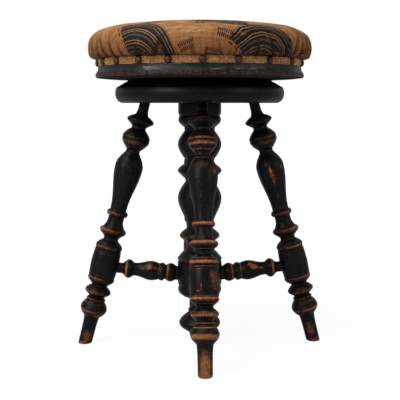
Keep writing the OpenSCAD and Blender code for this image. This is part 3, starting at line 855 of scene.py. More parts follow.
# %% Legs
RUN_ON = 6 * MM
leg_end = -(Vector(feet["front"]) - leg_frame(feet["front"]).translation).length - RUN_ON
for number, side in enumerate(SIDES):
    axis = leg_frame(feet[side])
    rings, _ = read_rings("leg_" + side, axis)
    rings = [ring for ring in rings if ring[0] > leg_end + RUN_ON]
    slope = (rings[1][1] - rings[0][1]) / (rings[1][0] - rings[0][0])
    low = (leg_end, rings[0][1] + slope * (leg_end - rings[0][0]))
    bands = [(at, half * BAND_WIDTH[side], amount * BAND_SHARE[side])
             for at, half, amount in LEG_BANDS]
    leg = turn_piece("turned_leg_" + side, capped([low, *rings]), axis, LEG_TOUCH,
                     seed=number * 7.3, facing=FACING[side], spots=LEG_SPOTS[side],
                     bands=bands, grooves=LEG_GROOVES)
    cut_foot(leg.data, feet[side])
    dress(leg, "base", "ebonised_wood", "leg_" + side)

# %% [markdown]
# ## Stretchers, column and base top
#
# These come off the same lathe. The stretchers are rubbed on top, where feet
# rest. The column is bored for the screw from above, and the base top is
# bored right through, so its outline is a closed loop.

# %% Stretchers
STRETCHER_TOUCH = ((-100, 0.40), (100, 0.40))
STRETCHER_BANDS = ((37.0, 2.6, 0.84), (-15.2, 1.9, 0.82), (-29.0, 1.9, 0.78))
STRETCHER_GROOVES = (32.6, -32.2)
STRETCHER_SPOTS = {
    "front": ((0, 0, 8, 34, 0.60),),
    "right": ((6.5, 60, 8, 24, 0.86), (0, 44, 6, 16, 0.78), (18, 72, 5, 14, 0.64)),
    "back": ((3, 10, 9, 30, 0.58),),
    "left": ((0.5, -52, 9, 34, 0.60), (-8, -60, 6, 20, 0.50), (12, -66, 6, 16, 0.46))}
for number, side in enumerate(SIDES):
    axis = long_axis("stretcher_" + side)
    rings, _ = read_rings("stretcher_" + side, axis)
    rail = turn_piece("turned_stretcher_" + side, capped(rings), axis, STRETCHER_TOUCH,
                      sides=64, seed=40 + number * 3.1, facing=0.1,
                      spots=STRETCHER_SPOTS[side], bands=STRETCHER_BANDS,
                      grooves=STRETCHER_GROOVES)
    dress(rail, "base", "ebonised_wood", "stretcher_" + side)

# %% Column and base top
COLUMN_TOUCH = ((0, 0.4), (160, 0.55), (300, 0.35), (400, 0.2))
COLUMN_SPOTS = ((174, -150, 5, 40, 0.46), (174, -30, 5, 40, 0.48), (174, 90, 5, 60, 0.44),
                (138, -150, 5, 26, 0.50), (138, 60, 5, 30, 0.46), (112, -40, 6, 30, 0.50),
                (34, -22, 12, 24, 0.42), (52, -140, 2, 40, 0.50), (224, -52, 3, 11, 0.52))
BASE_TOP_TOUCH = ((380, 0.16), (430, 0.14))
# Angle, half width and wear of the worn places on the base top's lower edge
BASE_TOP_EDGE = ((-83, 1.6, 0.52), (-71, 1.8, 0.60), (-62, 1.2, 0.58), (-104, 1.2, 0.46),
                 (60, 2, 0.6), (130, 2.5, 0.55), (-150, 1.5, 0.5))
rings, bores = read_rings("centre_column", UPRIGHT)
column = turn_piece("turned_column", capped([*rings, *bores[::-1]]), UPRIGHT, COLUMN_TOUCH,
                    seed=90.0, spots=COLUMN_SPOTS)
dress(column, "base", "ebonised_wood", "centre_column")

rings, bores = read_rings("base_top", UPRIGHT)
base_top = turn_piece("turned_base_top", [*rings, *bores[::-1], rings[0]], UPRIGHT,
                      BASE_TOP_TOUCH, sides=160, seed=120.0, unevenness=0.4 * MM,
                      spots=[(388, angle, 3, half, wear) for angle, half, wear in BASE_TOP_EDGE])
dress(base_top, "base", "ebonised_wood", "base_top")

# %% [markdown]
# ## Seat board
#
# The seat board is a thick round board with a moulded edge: a bead below and
# a hollow above it. The hollow kept its slate-grey polish, with pale scuffs
# that run round it, and the same pale streaks are also painted highlights on
# its gloss. The bead is worn to a dark red brown. Marks that run round a disc
# need a place that runs round it too, so the angle is turned into a length
# and used as one coordinate of the noise.

# %% Rim finish
SLATE = ((0.0070, 0.0088, 0.0110), (0.0180, 0.0215, 0.0260))
# Pale colour of the scuffs, which also paints highlight streaks on the gloss of the hollow
SCUFF_AND_HIGHLIGHT = (0.34, 0.38, 0.42)
BEAD = ((0.0065, 0.0040, 0.0032), (0.1000, 0.0280, 0.0110))
UNDERSIDE = (0.012, 0.008, 0.006)
SEAT_UNDER = foot_of("seat_board")
BEAD_TOP = SEAT_UNDER + 7.2 * MM
RIM_RADIUS = 160 * MM


def round_place(bench, place):
    """(length round the seat, 0, height), with its seam at the back."""
    parts = bench.split(place)
    turn = parts.sum("ARCTAN2", parts.output("X"), parts.output("Y") * -1)
    return bench.join(turn * RIM_RADIUS, 0.0, parts.output("Z")), parts.output("Z")


rim_wood, b = new_finish("rim_wood")
place, height = round_place(b, stored(b, "lathe_place", "Vector"))
wear = stored(b, "wear")
patch = b.cloud(place, 70, 4, 0.6)
scratch = b.cloud(place, 760, 5, 0.75, (0.05, 1, 1))
fleck = b.cloud(place, 520, 3, 0.65, (0.45, 1, 1), 4.0)
where = b.cloud(place, 26, 2, 0.5, (1, 1, 0.3), 0.31)
slate = b.blend(b.climb(patch, 0.3, 0.7), *SLATE)
# Mask of the pale streaks round the hollow: partly real scuffs, partly painted highlight
scuff_and_highlight = b.climb(scratch + (where - 0.5) * 0.5 + wear * 0.26, 0.66, 0.82)
slate = b.blend(scuff_and_highlight * 0.60, slate, SCUFF_AND_HIGHLIGHT)
edge = height + (patch - 0.5) * 3 * MM
brown = b.climb(edge, BEAD_TOP + 0.8 * MM, BEAD_TOP - 0.8 * MM)
bead = b.blend(b.climb(fleck + wear * 0.2 + (patch - 0.5) * 0.5, 0.48, 0.74), *BEAD)
under = b.climb(height, SEAT_UNDER + 0.9 * MM, SEAT_UNDER + 0.3 * MM)
colour = b.blend(under, b.blend(brown, slate, bead), UNDERSIDE)
put_on(b, colour, 0.34 + scuff_and_highlight * 0.2 + brown * 0.1 + under * 0.6,
       ((scratch, 0.14 * MM), (patch, 0.15 * MM)), Specular_IOR_Level=0.18)
print("rim finish nodes:", len(rim_wood.node_tree.nodes))

# %% Seat board
BOARD_TOUCH = ((420, 0.6), (450, 0.4))
# Height over the underside, angle, half length and half width of the scuffs, which also carry
# painted highlight streaks
BOARD_SCUFFS_AND_HIGHLIGHTS = ((11, -118, 4, 10), (11, -64, 4, 11), (10, -84, 2, 9), (10, 40, 3, 12),
                (11, 150, 3, 9))
rings, bores = read_rings("seat_board", UPRIGHT)
board = turn_piece("moulded_seat_board", capped([*bores[::-1], *rings]), UPRIGHT, BOARD_TOUCH,
                   sides=192, seed=150.0, unevenness=0.35 * MM, finish=rim_wood,
                   spots=[(SEAT_UNDER / MM + up, *oval, 0.9) for up, *oval in BOARD_SCUFFS_AND_HIGHLIGHTS])
dress(board, "seat", "rim_wood", "seat_board")

# %% [markdown]
# ## Stuffing and its cloth
#
# Nothing of these shows from outside, but the packed parts are plain solids,
# so each gets a form of its own: a lumpy pad, and a coarse cloth drawn over
# it. Both are turned from their own rings, with a lot of unevenness.

# %% Finishes of the hidden padding
HESSIAN = (0.50, 0.38, 0.22)
HORSEHAIR = ((0.022, 0.014, 0.009), (0.11, 0.07, 0.04))


def plain_weave(name, thread, pitch):
    """A coarse cloth of over-and-under threads on the cloth's own place."""
    material, bench = new_finish(name)
    spot = bench.object_place()
    parts = bench.split(spot)
    across = parts.sum("SINE", parts.output("X") * (FULL_TURN / pitch))
    down = parts.sum("SINE", (parts.output("Y") + parts.output("Z")) * (FULL_TURN / pitch))
    knots = across * down
    dust = bench.cloud(spot, 500, 3)
    shade = bench.climb(knots * 0.35 + dust, 0.2, 0.95)
    dark = tuple(0.45 * x for x in thread)
    put_on(bench, bench.blend(shade, dark, thread), 0.85 + (dust - 0.5) * 0.1,
           ((knots, 0.3 * MM),), Specular_IOR_Level=0.2)
    return material


hessian = plain_weave("hessian", HESSIAN, 1.6 * MM)
horsehair, b = new_finish("horsehair")
curl = b.cloud(b.object_place(), 380, 5, 0.75)
put_on(b, b.blend(b.climb(curl, 0.35, 0.65), *HORSEHAIR), 0.75 + curl * 0.15,
       ((curl, 0.8 * MM),), Specular_IOR_Level=0.3)
print("finishes so far:", len(bpy.data.materials))

# %% Hidden padding
PAD_FOOT = top_of("seat_board") - 10 * MM
PAD_SHARE, CASE_SHARE = 0.935, 0.945


def drawn_in(rings, by):
    """The same rings a little smaller, about a point just inside the seat board's top."""
    return [(PAD_FOOT + (place - PAD_FOOT) * by, radius * by) for place, radius in rings]


rings, _ = read_rings("stuffing", UPRIGHT)
crown = top_of("stuffing")
pad_rings = [(rings[0][0], 0), *drawn_in([*rings, (crown, 0)], PAD_SHARE)]
pad = turn_piece("horsehair_pad", pad_rings, UPRIGHT, sides=96, seed=170.0,
                 unevenness=0.6 * MM, finish=horsehair)
dress(pad, "seat", "horsehair", "stuffing")
rings, bores = read_rings("stuffing_cloth", UPRIGHT)
outside = [*rings, (top_of("stuffing_cloth"), 0)]
inside = [(crown + 0.1 * MM, 0), *bores[::-1]]
case = turn_piece("hessian_case", drawn_in([*outside, *inside, rings[0]], CASE_SHARE), UPRIGHT,
                  sides=96, seed=170.0, unevenness=0.2 * MM, finish=hessian)
dress(case, "seat", "hessian", "stuffing_cloth")

# %% [markdown]
# ## Cover
#
# The cover is one flat piece of cloth, pulled down over a round pad and
# nailed round the edge. It is too wide there, so it lies in small gathers by
# the nails and in longer uneven tucks. Each tuck is a plump fold with a crease
# on one side, and it opens to the front or to the back, whichever is nearer.
# A lathe shape would have none of them. So a disc of triangles is laid over
# the CAD outline, each point keeps its place on the flat cloth for the
# pattern, the tucks are started in the shape, and a cloth simulation with a
# little pressure from inside lets the cloth settle between them.

# %% The cloth's size and its line over the pad
CLOTH_STEP = 2.7 * MM
PINNED = 15 * MM
rings, _ = read_rings("seat_cover", UPRIGHT)
cover_line = smooth_outline([*rings, (top_of("seat_cover"), 0)])[::-1]
run = np.cumsum([0] + [(q - p).length for p, q in zip(cover_line, cover_line[1:])])
cloth_radius = float(run[-1])
line_radius, line_height = [p.x for p in cover_line], [p.y for p in cover_line]
print("cloth cut to a disc", round(2 * cloth_radius, 3), "m across")

# %% Tucks
TUCK_SEED = 11
# Angle from the front, lean, width, depth, height of each tuck: degrees and millimetres
FRONT_TUCKS = [
    (-80, 0.2, 9, 6.5, 40), (-73, 0.3, 9, 8.0, 40), (-66, -0.2, 8.5, 7.6, 40),
    (-59, 0.3, 8, 7.4, 36), (-52, 0.1, 7, 5.4, 30), (-45, 0.3, 6, 3.4, 20),
    (-36, 0.3, 6, 2.6, 16), (-26, -0.7, 8, 5.0, 34), (-19, 0.6, 7, 4.0, 26),
    (-6, 0.2, 6, 2.4, 16), (9, 0.4, 7, 3.0, 20), (15, -0.4, 6, 2.6, 16),
    (27.5, 0.1, 8, 5.0, 32), (38, 0.5, 8, 5.6, 36), (46, 0.0, 6.5, 5.0, 32),
    (53, -0.3, 8, 7.4, 50), (60, 0.1, 8.5, 8.2, 58), (67, 0.2, 9, 8.2, 54),
    (74, 0.3, 9, 7.6, 46), (81, 0.1, 9, 6.0, 36)]


def side_tucks(chance):
    """Uneven tucks round the sides and the back."""
    tucks, at = [], 88.0
    while at < 288:
        tucks.append((at, chance.uniform(-0.5, 0.5), chance.uniform(6, 9),
                      chance.uniform(2.2, 5.4), chance.uniform(20, 46)))
        at += chance.uniform(7, 15)
    return tucks


def gathers_by_the_nails(chance):
    """Small puckers close to the braid, all the way round."""
    found, at = [], 0.0
    while at < 360:
        found.append((at, chance.uniform(-0.4, 0.4), chance.uniform(4, 5.5),
                      chance.uniform(1.4, 3.0), chance.uniform(9, 18)))
        at += chance.uniform(4, 9)
    return found


chance = random.Random(TUCK_SEED)
tucks = FRONT_TUCKS + side_tucks(chance) + gathers_by_the_nails(chance)


def at_the_tucks(angle, up, radius):
    """How far the tucks move a point outwards, in metres, and how much painted shade it gets in a
    fold.
    """
    moved, crease = 0.0, 0.0
    for at, lean, width, depth, tall in tucks:
        if not 0 <= up < tall * MM:
            continue
        aside = math.radians((angle - at + 180) % 360 - 180) * radius / MM + lean * up / MM
        if abs(aside) > 3 * width:
            continue
        fade = 1 - up / (tall * MM)
        way = -1 if math.sin(math.radians(2 * at)) > 0 else 1
        beyond = 0.5 + 0.5 * math.tanh(way * aside / 1.2)
        fold = math.exp(-(aside / (0.9 * width)) ** 2) * (1 - beyond)
        dip = math.exp(-(aside / (0.55 * width)) ** 2) * beyond
        moved += depth * fade * (fold - 0.9 * dip)
        # crease is how much painted shade the hollow of a fold gets in the cover finish
        crease = max(crease, min(1.0, depth / 4) * fade ** 0.5 * dip ** 1.8 * 2.6)
    return moved * MM, crease


print("tucks and gathers:", len(tucks))

# %% A flat disc of cloth laid over the pad
TUCKS_FROM = 0.6  # No tuck reaches nearer to the middle than this share of the radius


def cloth_disc():
    """Points on the pad, their painted fold shade, their places on the flat cloth, and the
    triangles of a disc.
    """
    count = round(cloth_radius / CLOTH_STEP)
    flat, first = [(0.0, 0.0)], [0]
    for k in range(1, count + 1):
        first.append(len(flat))
        far = cloth_radius * k / count
        flat += [(far * math.cos(FULL_TURN * i / (6 * k)), far * math.sin(FULL_TURN * i / (6 * k)))
                 for i in range(6 * k)]
    faces = []
    for k in range(1, count + 1):
        outer, inner = first[k], first[k - 1]
        for sector in range(6):
            for i in range(k):
                a = outer + sector * k + i
                c = outer + (sector * k + i + 1) % (6 * k)
                p = inner + (sector * (k - 1) + i) % max(1, 6 * (k - 1))
                faces.append((a, c, p))
                if i < k - 1:
                    q = inner + (sector * (k - 1) + i + 1) % (6 * (k - 1))
                    faces.append((c, q, p))
    points, fold_shades, braid_top = [], [], top_of("gimp_braid")
    for x, y in flat:
        far = math.hypot(x, y)
        radius, height = np.interp(far, run, line_radius), np.interp(far, run, line_height)
        angle = math.degrees(math.atan2(x, -y))
        out, crease = 0, 0
        if far > TUCKS_FROM * cloth_radius:
            out, crease = at_the_tucks(angle, height - braid_top, radius)
        share = (radius + out) / max(far, 1e-9)
        points.append((x * share, y * share, height))
        fold_shades.append(crease)
    return points, fold_shades, flat, faces, list(range(first[-1], len(flat)))


points, fold_shades, flat, faces, hem = cloth_disc()
print("cloth points:", len(points), "triangles:", len(faces))

# %% [markdown]
# The simulation needs a closed skin for its pressure, so a lid closes the
# bottom while it runs. The hem under the braid is pinned, and so is the top
# of the cushion. Near the hem the cloth is told that it is larger than it is,
# by up to a sixth, which keeps the folds loose. No point may move more than a
# few millimetres, so the cushion keeps the size of the CAD model.

# %% The cloth before it settles
LOOSE_HEIGHT = 42 * MM
FREE_TO = 92 * MM
mesh = bpy.data.meshes.new("cover")
middle = len(points)
lid = [(hem[(i + 1) % len(hem)], hem[i], middle) for i in range(len(hem))]
mesh.from_pydata([*points, (0, 0, points[hem[0]][2])], [], [*faces, *lid])
cover = add_object("silk_cover", mesh)
hold, loose = cover.vertex_groups.new(name="hem"), cover.vertex_groups.new(name="loose")
for i, (x, y) in enumerate([*flat, (0, 0)]):
    from_hem = cloth_radius - math.hypot(x, y)
    if i == middle or not PINNED < from_hem < FREE_TO:
        hold.add([i], 1.0, "REPLACE")
    else:
        share = max(0.0, 1 - (from_hem - PINNED) / LOOSE_HEIGHT)
        loose.add([i], share, "REPLACE")
print("free points:", sum(PINNED < cloth_radius - math.hypot(x, y) < FREE_TO for x, y in flat))

# %% Let the cloth settle
FRAMES = 20
MOST_MOVE = 5.0 * MM
LOOSE = -0.16
cloth = cover.modifiers.new("settle", "CLOTH")
set_cloth = cloth.settings
set_cloth.quality = 6
set_cloth.mass = 0.2
set_cloth.tension_stiffness = set_cloth.compression_stiffness = 18
set_cloth.shear_stiffness = 8
set_cloth.bending_stiffness = 0.05
set_cloth.air_damping = 4
set_cloth.vertex_group_mass = "hem"
set_cloth.vertex_group_shrink = "loose"
set_cloth.shrink_min, set_cloth.shrink_max = 0.0, LOOSE
set_cloth.use_pressure = True
set_cloth.uniform_pressure_force = 2.5
set_cloth.effector_weights.gravity = 0
cloth.collision_settings.use_collision = False
cloth.point_cache.frame_start, cloth.point_cache.frame_end = 1, FRAMES
for number in range(1, FRAMES + 1):
    bpy.context.scene.frame_set(number)
graph = bpy.context.evaluated_depsgraph_get()
settled = np.array([v.co for v in cover.evaluated_get(graph).data.vertices])
cover.modifiers.clear()
start = np.array([v.co for v in mesh.vertices])
move = settled - start
far = np.linalg.norm(move, axis=1, keepdims=True)
move *= np.minimum(1, MOST_MOVE / np.maximum(far, 1e-9))
mesh.vertices.foreach_set("co", (start + move).astype(np.float32).ravel())
bpy.context.scene.frame_set(1)
print("cloth moved by", round(float(far.mean()) / MM, 2), "mm on average, at most",
      round(float(far.max()) / MM, 2))

# %% [markdown]
# ## Cover cloth
#
# The cloth is a silky tan with fine slubs, printed with black curved stripes
# and rows of dashes. The print here is a plain layout of its own: fans of
# uneven stripes and rows of dashes, spread over the whole disc, with the ink
# worn off in patches. An image could carry it, but it would stretch and blur.
# So it is worked out from the place that each point has on the flat cloth,
# and it bends and bunches with the cloth.

# %% Colours and places of the print
TAN = ((0.205, 0.078, 0.021), (0.590, 0.315, 0.132))
# A deeper tan, used for random darker patches and as painted shade towards the lower edge
DEEP_TAN_AND_SHADE = (0.200, 0.060, 0.014)
SHADE_FROM, SHADE_FULL = 500 * MM, 456 * MM
# Painted shade in the hollows of the tucks
PAINTED_FOLD_SHADE = (0.024, 0.009, 0.004)
INK = (0.0060, 0.0042, 0.0036)
FADED = (0.066, 0.042, 0.028)
HEM_RADIUS = cloth_radius - PINNED
# Across a fan: place from 0 to 1 and how dark it is from there on
STRIPES = [(0.0, 1), (0.07, 0), (0.09, 1), (0.13, 0.4), (0.155, 1), (0.21, 0), (0.225, 1),
           (0.30, 0.5), (0.335, 1), (0.39, 0), (0.41, 1), (0.45, 0), (0.47, 1), (0.56, 0.5),
           (0.60, 1), (0.66, 0), (0.675, 1), (0.71, 0), (0.73, 1), (0.82, 0.4), (0.85, 1),
           (0.90, 0), (0.915, 1), (0.97, 0), (0.985, 1)]
# Centre x and y, inner radius, depth in millimetres, middle direction and half width in degrees
FANS = [(-138, -196, 22, 66, 28, 48), (126, -226, 30, 72, 110, 44), (34, -62, 50, 44, 262, 28),
        (-206, 30, 14, 50, 60, 60), (60, 62, 38, 50, 62, 44), (-88, 62, 30, 48, 140, 50),
        (8, 214, 26, 46, -64, 50), (196, -8, 18, 52, 96, 52)]
# Middle x and y, direction in degrees and length in millimetres of each row of dashes
DASHES = [(-30, -194, 12, 26), (12, -206, -6, 26), (-112, -168, 40, 18), (30, -176, -8, 26),
          (-6, -150, 74, 14), (176, -150, 50, 20), (-70, -128, 10, 24), (176, -96, -60, 24),
          (-196, -92, 62, 26), (-12, -20, 24, 30), (96, 20, -30, 24), (-150, 20, 80, 26),
          (-40, 130, -14, 28), (110, 150, 40, 24)]
DASH_PITCH = 3.0 * MM
DASH_SHARE = 0.60
DASH_LINES_AT = 4.0 * MM
DASH_HALF = 3.0 * MM
BLEED = 1.1 * MM
print("fans:", len(FANS), "rows of dashes:", len(DASHES))


# %% Stripes and dashes
def fan_of_stripes(bench, x, y, centre_x, centre_y, inner, depth, middle, half):
    """How dark a fan of concentric curved stripes is, with a short bar across each end."""
    x, y = x - centre_x * MM, y - centre_y * MM
    across = (x.sum("SQRT", x * x + y * y) - inner * MM) / (depth * MM)
    turn = x.sum("ARCTAN2", y, x) - math.radians(middle)
    turn = x.sum("WRAP", turn, math.pi, -math.pi).size() / math.radians(half)
    dark = bench.add("ShaderNodeValToRGB", {"stops": STRIPES}, {"Fac": across})
    bars = ((turn - 1.06).size() < 0.018) * (across.sum("FRACT", across * 6) < 0.62)
    return (across > 0) * (across < 1) * (dark * (turn < 1)).larger(bars)


def row_of_dashes(x, y, middle_x, middle_y, direction, length):
    """A mask of two lines of short strokes, one on each side of the row's middle."""
    x, y = x - middle_x * MM, y - middle_y * MM
    c, s = math.cos(math.radians(direction)), math.sin(math.radians(direction))
    along, up = x * c + y * s, y * c - x * s
    stroke = x.sum("FRACT", along / DASH_PITCH + 50) < DASH_SHARE
    lines = (up.size() - DASH_LINES_AT).size() < DASH_HALF
    return stroke * lines * (along.size() < length * MM / 2)


print("a stroke is", round(DASH_SHARE * DASH_PITCH / MM, 1), "mm wide")

# %% Cover finish
cover_cloth, b = new_finish("cover_fabric")
place = stored(b, "cloth_place", "Vector")
fuzz = b.cloud(place, 1500, 2, 0.6)
parts = b.split(place)
x = parts.output("X") + (fuzz - 0.5) * BLEED
y = parts.output("Y") + (b.cloud(place, 1500, 2, 0.6, shift=5.0) - 0.5) * BLEED
drift = (b.cloud(place, 60, 2, 0.5, shift=9.0) - 0.5) * 5 * MM
ink = None
for fan in FANS:
    mask = fan_of_stripes(b, x + drift, y - drift, *fan)
    ink = mask if ink is None else ink.larger(mask)
for dashes in DASHES:
    ink = ink.larger(row_of_dashes(x, y, *dashes))
slub = b.cloud(place, 700, 4, 0.65, (0.10, 1, 1))
streak = b.cloud(place, 260, 3, 0.6, (0.16, 1, 1), 2.0)
warp = b.cloud(place, 1500, 2, 0.5, (1, 0.12, 1), 4.0)
cloudy = b.cloud(place, 22, 3, 0.5)
# Painted shade: the cloth is made darker and redder towards its lower edge, where light from above
# falls less
painted_low_shade = b.climb(b.split(b.object_place()).output("Z"), SHADE_FROM, SHADE_FULL)
tan = b.blend(b.climb(slub * 0.52 + streak * 0.26 + warp * 0.22, 0.41, 0.60), *TAN)
tan = b.blend(b.climb(cloudy, 0.40, 0.62) * 0.4, tan, DEEP_TAN_AND_SHADE)
tan = b.blend(painted_low_shade * 0.75, tan, DEEP_TAN_AND_SHADE)
rubbed_off = b.climb(b.cloud(place, 75, 3, 0.6, (0.6, 1, 1), 7.0), 0.54, 0.72)
ink = ink * b.climb(slub, 0.18, 0.40, 0.80, 1.0) * (1 - rubbed_off * 0.42)
colour = b.blend(b.climb(ink, 0.0, 0.5), tan, FADED)
colour = b.blend(b.climb(ink, 0.55, 0.95), colour, INK)
far = x.sum("SQRT", x * x + y * y)
round_the_hem = b.join(x.sum("ARCTAN2", x, y * -1) * HEM_RADIUS, far * 0.12, 0.0)
gathers = b.cloud(round_the_hem, 150, 2, 0.5) * b.climb(far, HEM_RADIUS - 52 * MM, HEM_RADIUS)
weft = b.add("ShaderNodeTexWave", {"bands_direction": "Y"}, {
    "Vector": place, "Scale": 260.0, "Distortion": 1.2, "Detail": 1.0})
# Painted shade: the cloth is darkened in the hollows of the tucks by the crease share
colour = b.blend(stored(b, "crease") * 0.72, colour, PAINTED_FOLD_SHADE)
put_on(b, colour, 0.50 + (slub - 0.5) * 0.25,
       ((gathers, 4.0 * MM), (slub, 0.40 * MM), (weft, 0.05 * MM)), Specular_IOR_Level=0.16)
print("cover finish nodes:", len(cover_cloth.node_tree.nodes))

# %% [markdown]
# The lid comes off again, each point gets its place on the flat cloth, and
# the cloth gets its thickness.

# %% Finish the cover
COVER_THICK = 1.5 * MM
work = bmesh.new()
work.from_mesh(mesh)
work.verts.ensure_lookup_table()
bmesh.ops.delete(work, geom=[work.verts[middle]], context="VERTS")
bmesh.ops.recalc_face_normals(work, faces=work.faces[:])
if sum(f.normal.z for f in work.faces) < 0:
    bmesh.ops.reverse_faces(work, faces=work.faces[:])
work.to_mesh(mesh)
work.free()
cover.vertex_groups.clear()
carry(mesh, "cloth_place", [(x, y, 0) for x, y in flat])
# The crease share carries the painted fold shade to the cover finish
carry(mesh, "crease", fold_shades)
mesh.materials.append(cover_cloth)
wall = cover.modifiers.new("wall", "SOLIDIFY")
wall.thickness, wall.offset = COVER_THICK, -1
graph = bpy.context.evaluated_depsgraph_get()
made = bpy.data.meshes.new_from_object(cover.evaluated_get(graph), preserve_all_data_layers=True,
                                       depsgraph=graph)
cover.modifiers.clear()
cover.data = made
made.polygons.foreach_set("use_smooth", [True] * len(made.polygons))
dress(cover, "seat", "cover_fabric", "seat_cover")

# %% [markdown]
# ## Nails
#
# Twenty domed nails hold the braid. A modelled nail is copied to each place
# by Geometry Nodes, with a small seeded tilt and its own tone, because they
# were hammered in by hand. The places are read off the CAD node: each nail
# is one lump of vertices that stands alone.

# %% Places of the nails
def nail_places():
    """(angle, height) of each nail, from the ring where its dome meets the braid."""
    points = np.array([v.co for v in frame["nodes"]["upholstery_nails"].data.vertices])
    out = np.hypot(points[:, 0], points[:, 1])
    points = points[out > out.max() - 3.5 * MM]
    angle = np.degrees(np.arctan2(points[:, 1], points[:, 0]))
    order = np.argsort(angle)
    groups = split_where(order, angle, 3.0)
    if (angle[groups[0][0]] + 360 - angle[groups[-1][-1]]) < 3.0:
        groups[0] = np.concatenate([groups[0], groups.pop()])
    middles = [points[group].mean(0) for group in groups]
    return [(math.atan2(m[1], m[0]), m[2]) for m in middles]


nails_at = nail_places()
print("nails found:", len(nails_at))

# %% Nail finish
BRONZE = ((0.016, 0.007, 0.004), (0.055, 0.025, 0.011))
WORN_CROWN = (0.13, 0.070, 0.038)
bronze, b = new_finish("nail_brass")
tarnish = b.cloud(b.object_place(), 420, 3, 0.6)
tone = stored(b, "tone")
crown_wear = b.climb(stored(b, "crown") + (tarnish - 0.5) * 0.5, 0.62, 0.98)
dull = b.blend(b.climb(tarnish + tone * 0.3, 0.35, 0.85), *BRONZE)
put_on(b, b.blend(crown_wear * 0.30, dull, WORN_CROWN),
       0.45 + (tarnish - 0.5) * 0.3, ((tarnish, 0.12 * MM),), Metallic=0.6)
print("nail finish nodes:", len(bronze.node_tree.nodes))

# %% A nail to copy
def spun_dome(name, rows, sides):
    """A low mesh of rings from (radius, height) rows, closed by a point at its top."""
    work = bmesh.new()
    turns = [FULL_TURN * i / sides for i in range(sides)]
    rings = [[work.verts.new((r * math.cos(turn), r * math.sin(turn), z)) for turn in turns]
             for r, z in rows[:-1]]
    top = work.verts.new((0, 0, rows[-1][1]))
    for low_ring, high_ring in zip(rings, rings[1:]):
        for i in range(sides):
            k = (i + 1) % sides
            work.faces.new((low_ring[i], low_ring[k], high_ring[k], high_ring[i]))
    for i in range(sides):
        work.faces.new((rings[-1][i], rings[-1][(i + 1) % sides], top))
    work.faces.new(rings[0][::-1])
    mesh = bpy.data.meshes.new(name)
    work.to_mesh(mesh)
    work.free()
    carry(mesh, "crown", [v.co.z / rows[-1][1] for v in mesh.vertices])
    return bpy.data.objects.new(name, mesh)


NAIL_RADIUS = (top_of("upholstery_nails") - foot_of("upholstery_nails")) / 2
NAIL_HIGH = 3.8 * MM
NAIL_SHANK = 1.0 * MM
NAIL_EDGE = 0.3 * MM
nail_rows = [(NAIL_SHANK * 0.4, -11 * MM), (NAIL_SHANK, -9 * MM), (NAIL_SHANK, -0.6 * MM),
             (NAIL_RADIUS * 0.93, -0.5 * MM), (NAIL_RADIUS, -0.2 * MM),
             (NAIL_RADIUS * 0.995, NAIL_EDGE)]
nail_rows += [(NAIL_RADIUS * math.cos(a), NAIL_EDGE + (NAIL_HIGH - NAIL_EDGE) * math.sin(a))
              for a in (math.radians(d) for d in (18, 36, 54, 72, 90))]
nail_model = spun_dome("nail_model", nail_rows, 20)
print("faces of a nail:", len(nail_model.data.polygons))

# %% The tree that sets copies out
scatter, b, given = new_tree("hammer_in", (
    ("Thing", "Object"), ("Tilt", "Float"), ("Seed", "Int"), ("Finish", "Material")))
thing = b.add("GeometryNodeObjectInfo", {}, {"Object": given.output("Thing")}).output("Geometry")
facing, along = named(b, "facing", "FLOAT_VECTOR"), named(b, "along", "FLOAT_VECTOR")
tilt = b.add("FunctionNodeRandomValue", {"data_type": "FLOAT_VECTOR"}, {
    "Min": (-1, -1, -1), "Max": (1, 1, 1), "Seed": given.output("Seed")})
leant = b.add("ShaderNodeVectorMath", {"operation": "SCALE"},
              {0: tilt, "Scale": given.output("Tilt")})
leant = b.add("ShaderNodeVectorMath", {"operation": "ADD"}, {0: leant, 1: facing})
turned = b.add("FunctionNodeAlignRotationToVector", {"axis": "Z"}, {"Vector": leant})
turned = b.add("FunctionNodeAlignRotationToVector", {"axis": "X", "pivot_axis": "Z"}, {
    "Rotation": turned, "Vector": along})
size = b.add("FunctionNodeRandomValue", {"data_type": "FLOAT"}, {
    "Min": 0.96, "Max": 1.0, "Seed": given.output("Seed")}).output("Value")
tone = b.add("FunctionNodeRandomValue", {"data_type": "FLOAT"}, {"Seed": given.output("Seed")})
marked = store(b, given, "tone", tone.output("Value"))
copies = b.add("GeometryNodeInstanceOnPoints", {}, {
    "Points": marked, "Instance": thing, "Rotation": turned, "Scale": size})
end_tree(b, copies, given.output("Finish"))


def scatter_on(name, places, thing, finish, tilt, seed):
    """Copies a model to places: (point, facing, along)."""
    mesh = bpy.data.meshes.new(name + "_places")
    mesh.from_pydata([tuple(place[0]) for place in places], [], [])
    for column, label in enumerate(("facing", "along"), 1):
        carry(mesh, label, [tuple(place[column]) for place in places])
    return bake(name, mesh, scatter, {"Thing": thing, "Tilt": tilt, "Seed": seed, "Finish": finish})


print("scatter inputs:", [i.name for i in scatter.interface.items_tree if i.in_out == "INPUT"])

# %% Hammer the nails in
BRAID_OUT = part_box("gimp_braid")[1].x
NAIL_TILT, NAIL_SEED = 0.05, 5


def outwards(angle):
    """The direction away from the stool's axis at an angle."""
    return Vector((math.cos(angle), math.sin(angle), 0))


nail_places_out = [
    (outwards(angle) * BRAID_OUT + Vector((0, 0, height)), outwards(angle), (0, 0, 1))
    for angle, height in nails_at]
nails = scatter_on("domed_nails", nail_places_out, nail_model, bronze, NAIL_TILT, NAIL_SEED)
dress(nails, "seat", "nail_brass", "upholstery_nails")

# %% [markdown]
# ## Gimp braid
#
# Gimp is a narrow woven braid whose threads lie aslant, in rows that lean
# the other way in turn, like herringbone. From a step away the slanting
# stitches are what one sees, so each is a small plump thread of a few dozen
# faces, set out by the same Geometry Nodes tree as the nails. They lie on a
# plain band, which each nail pulls in a little.

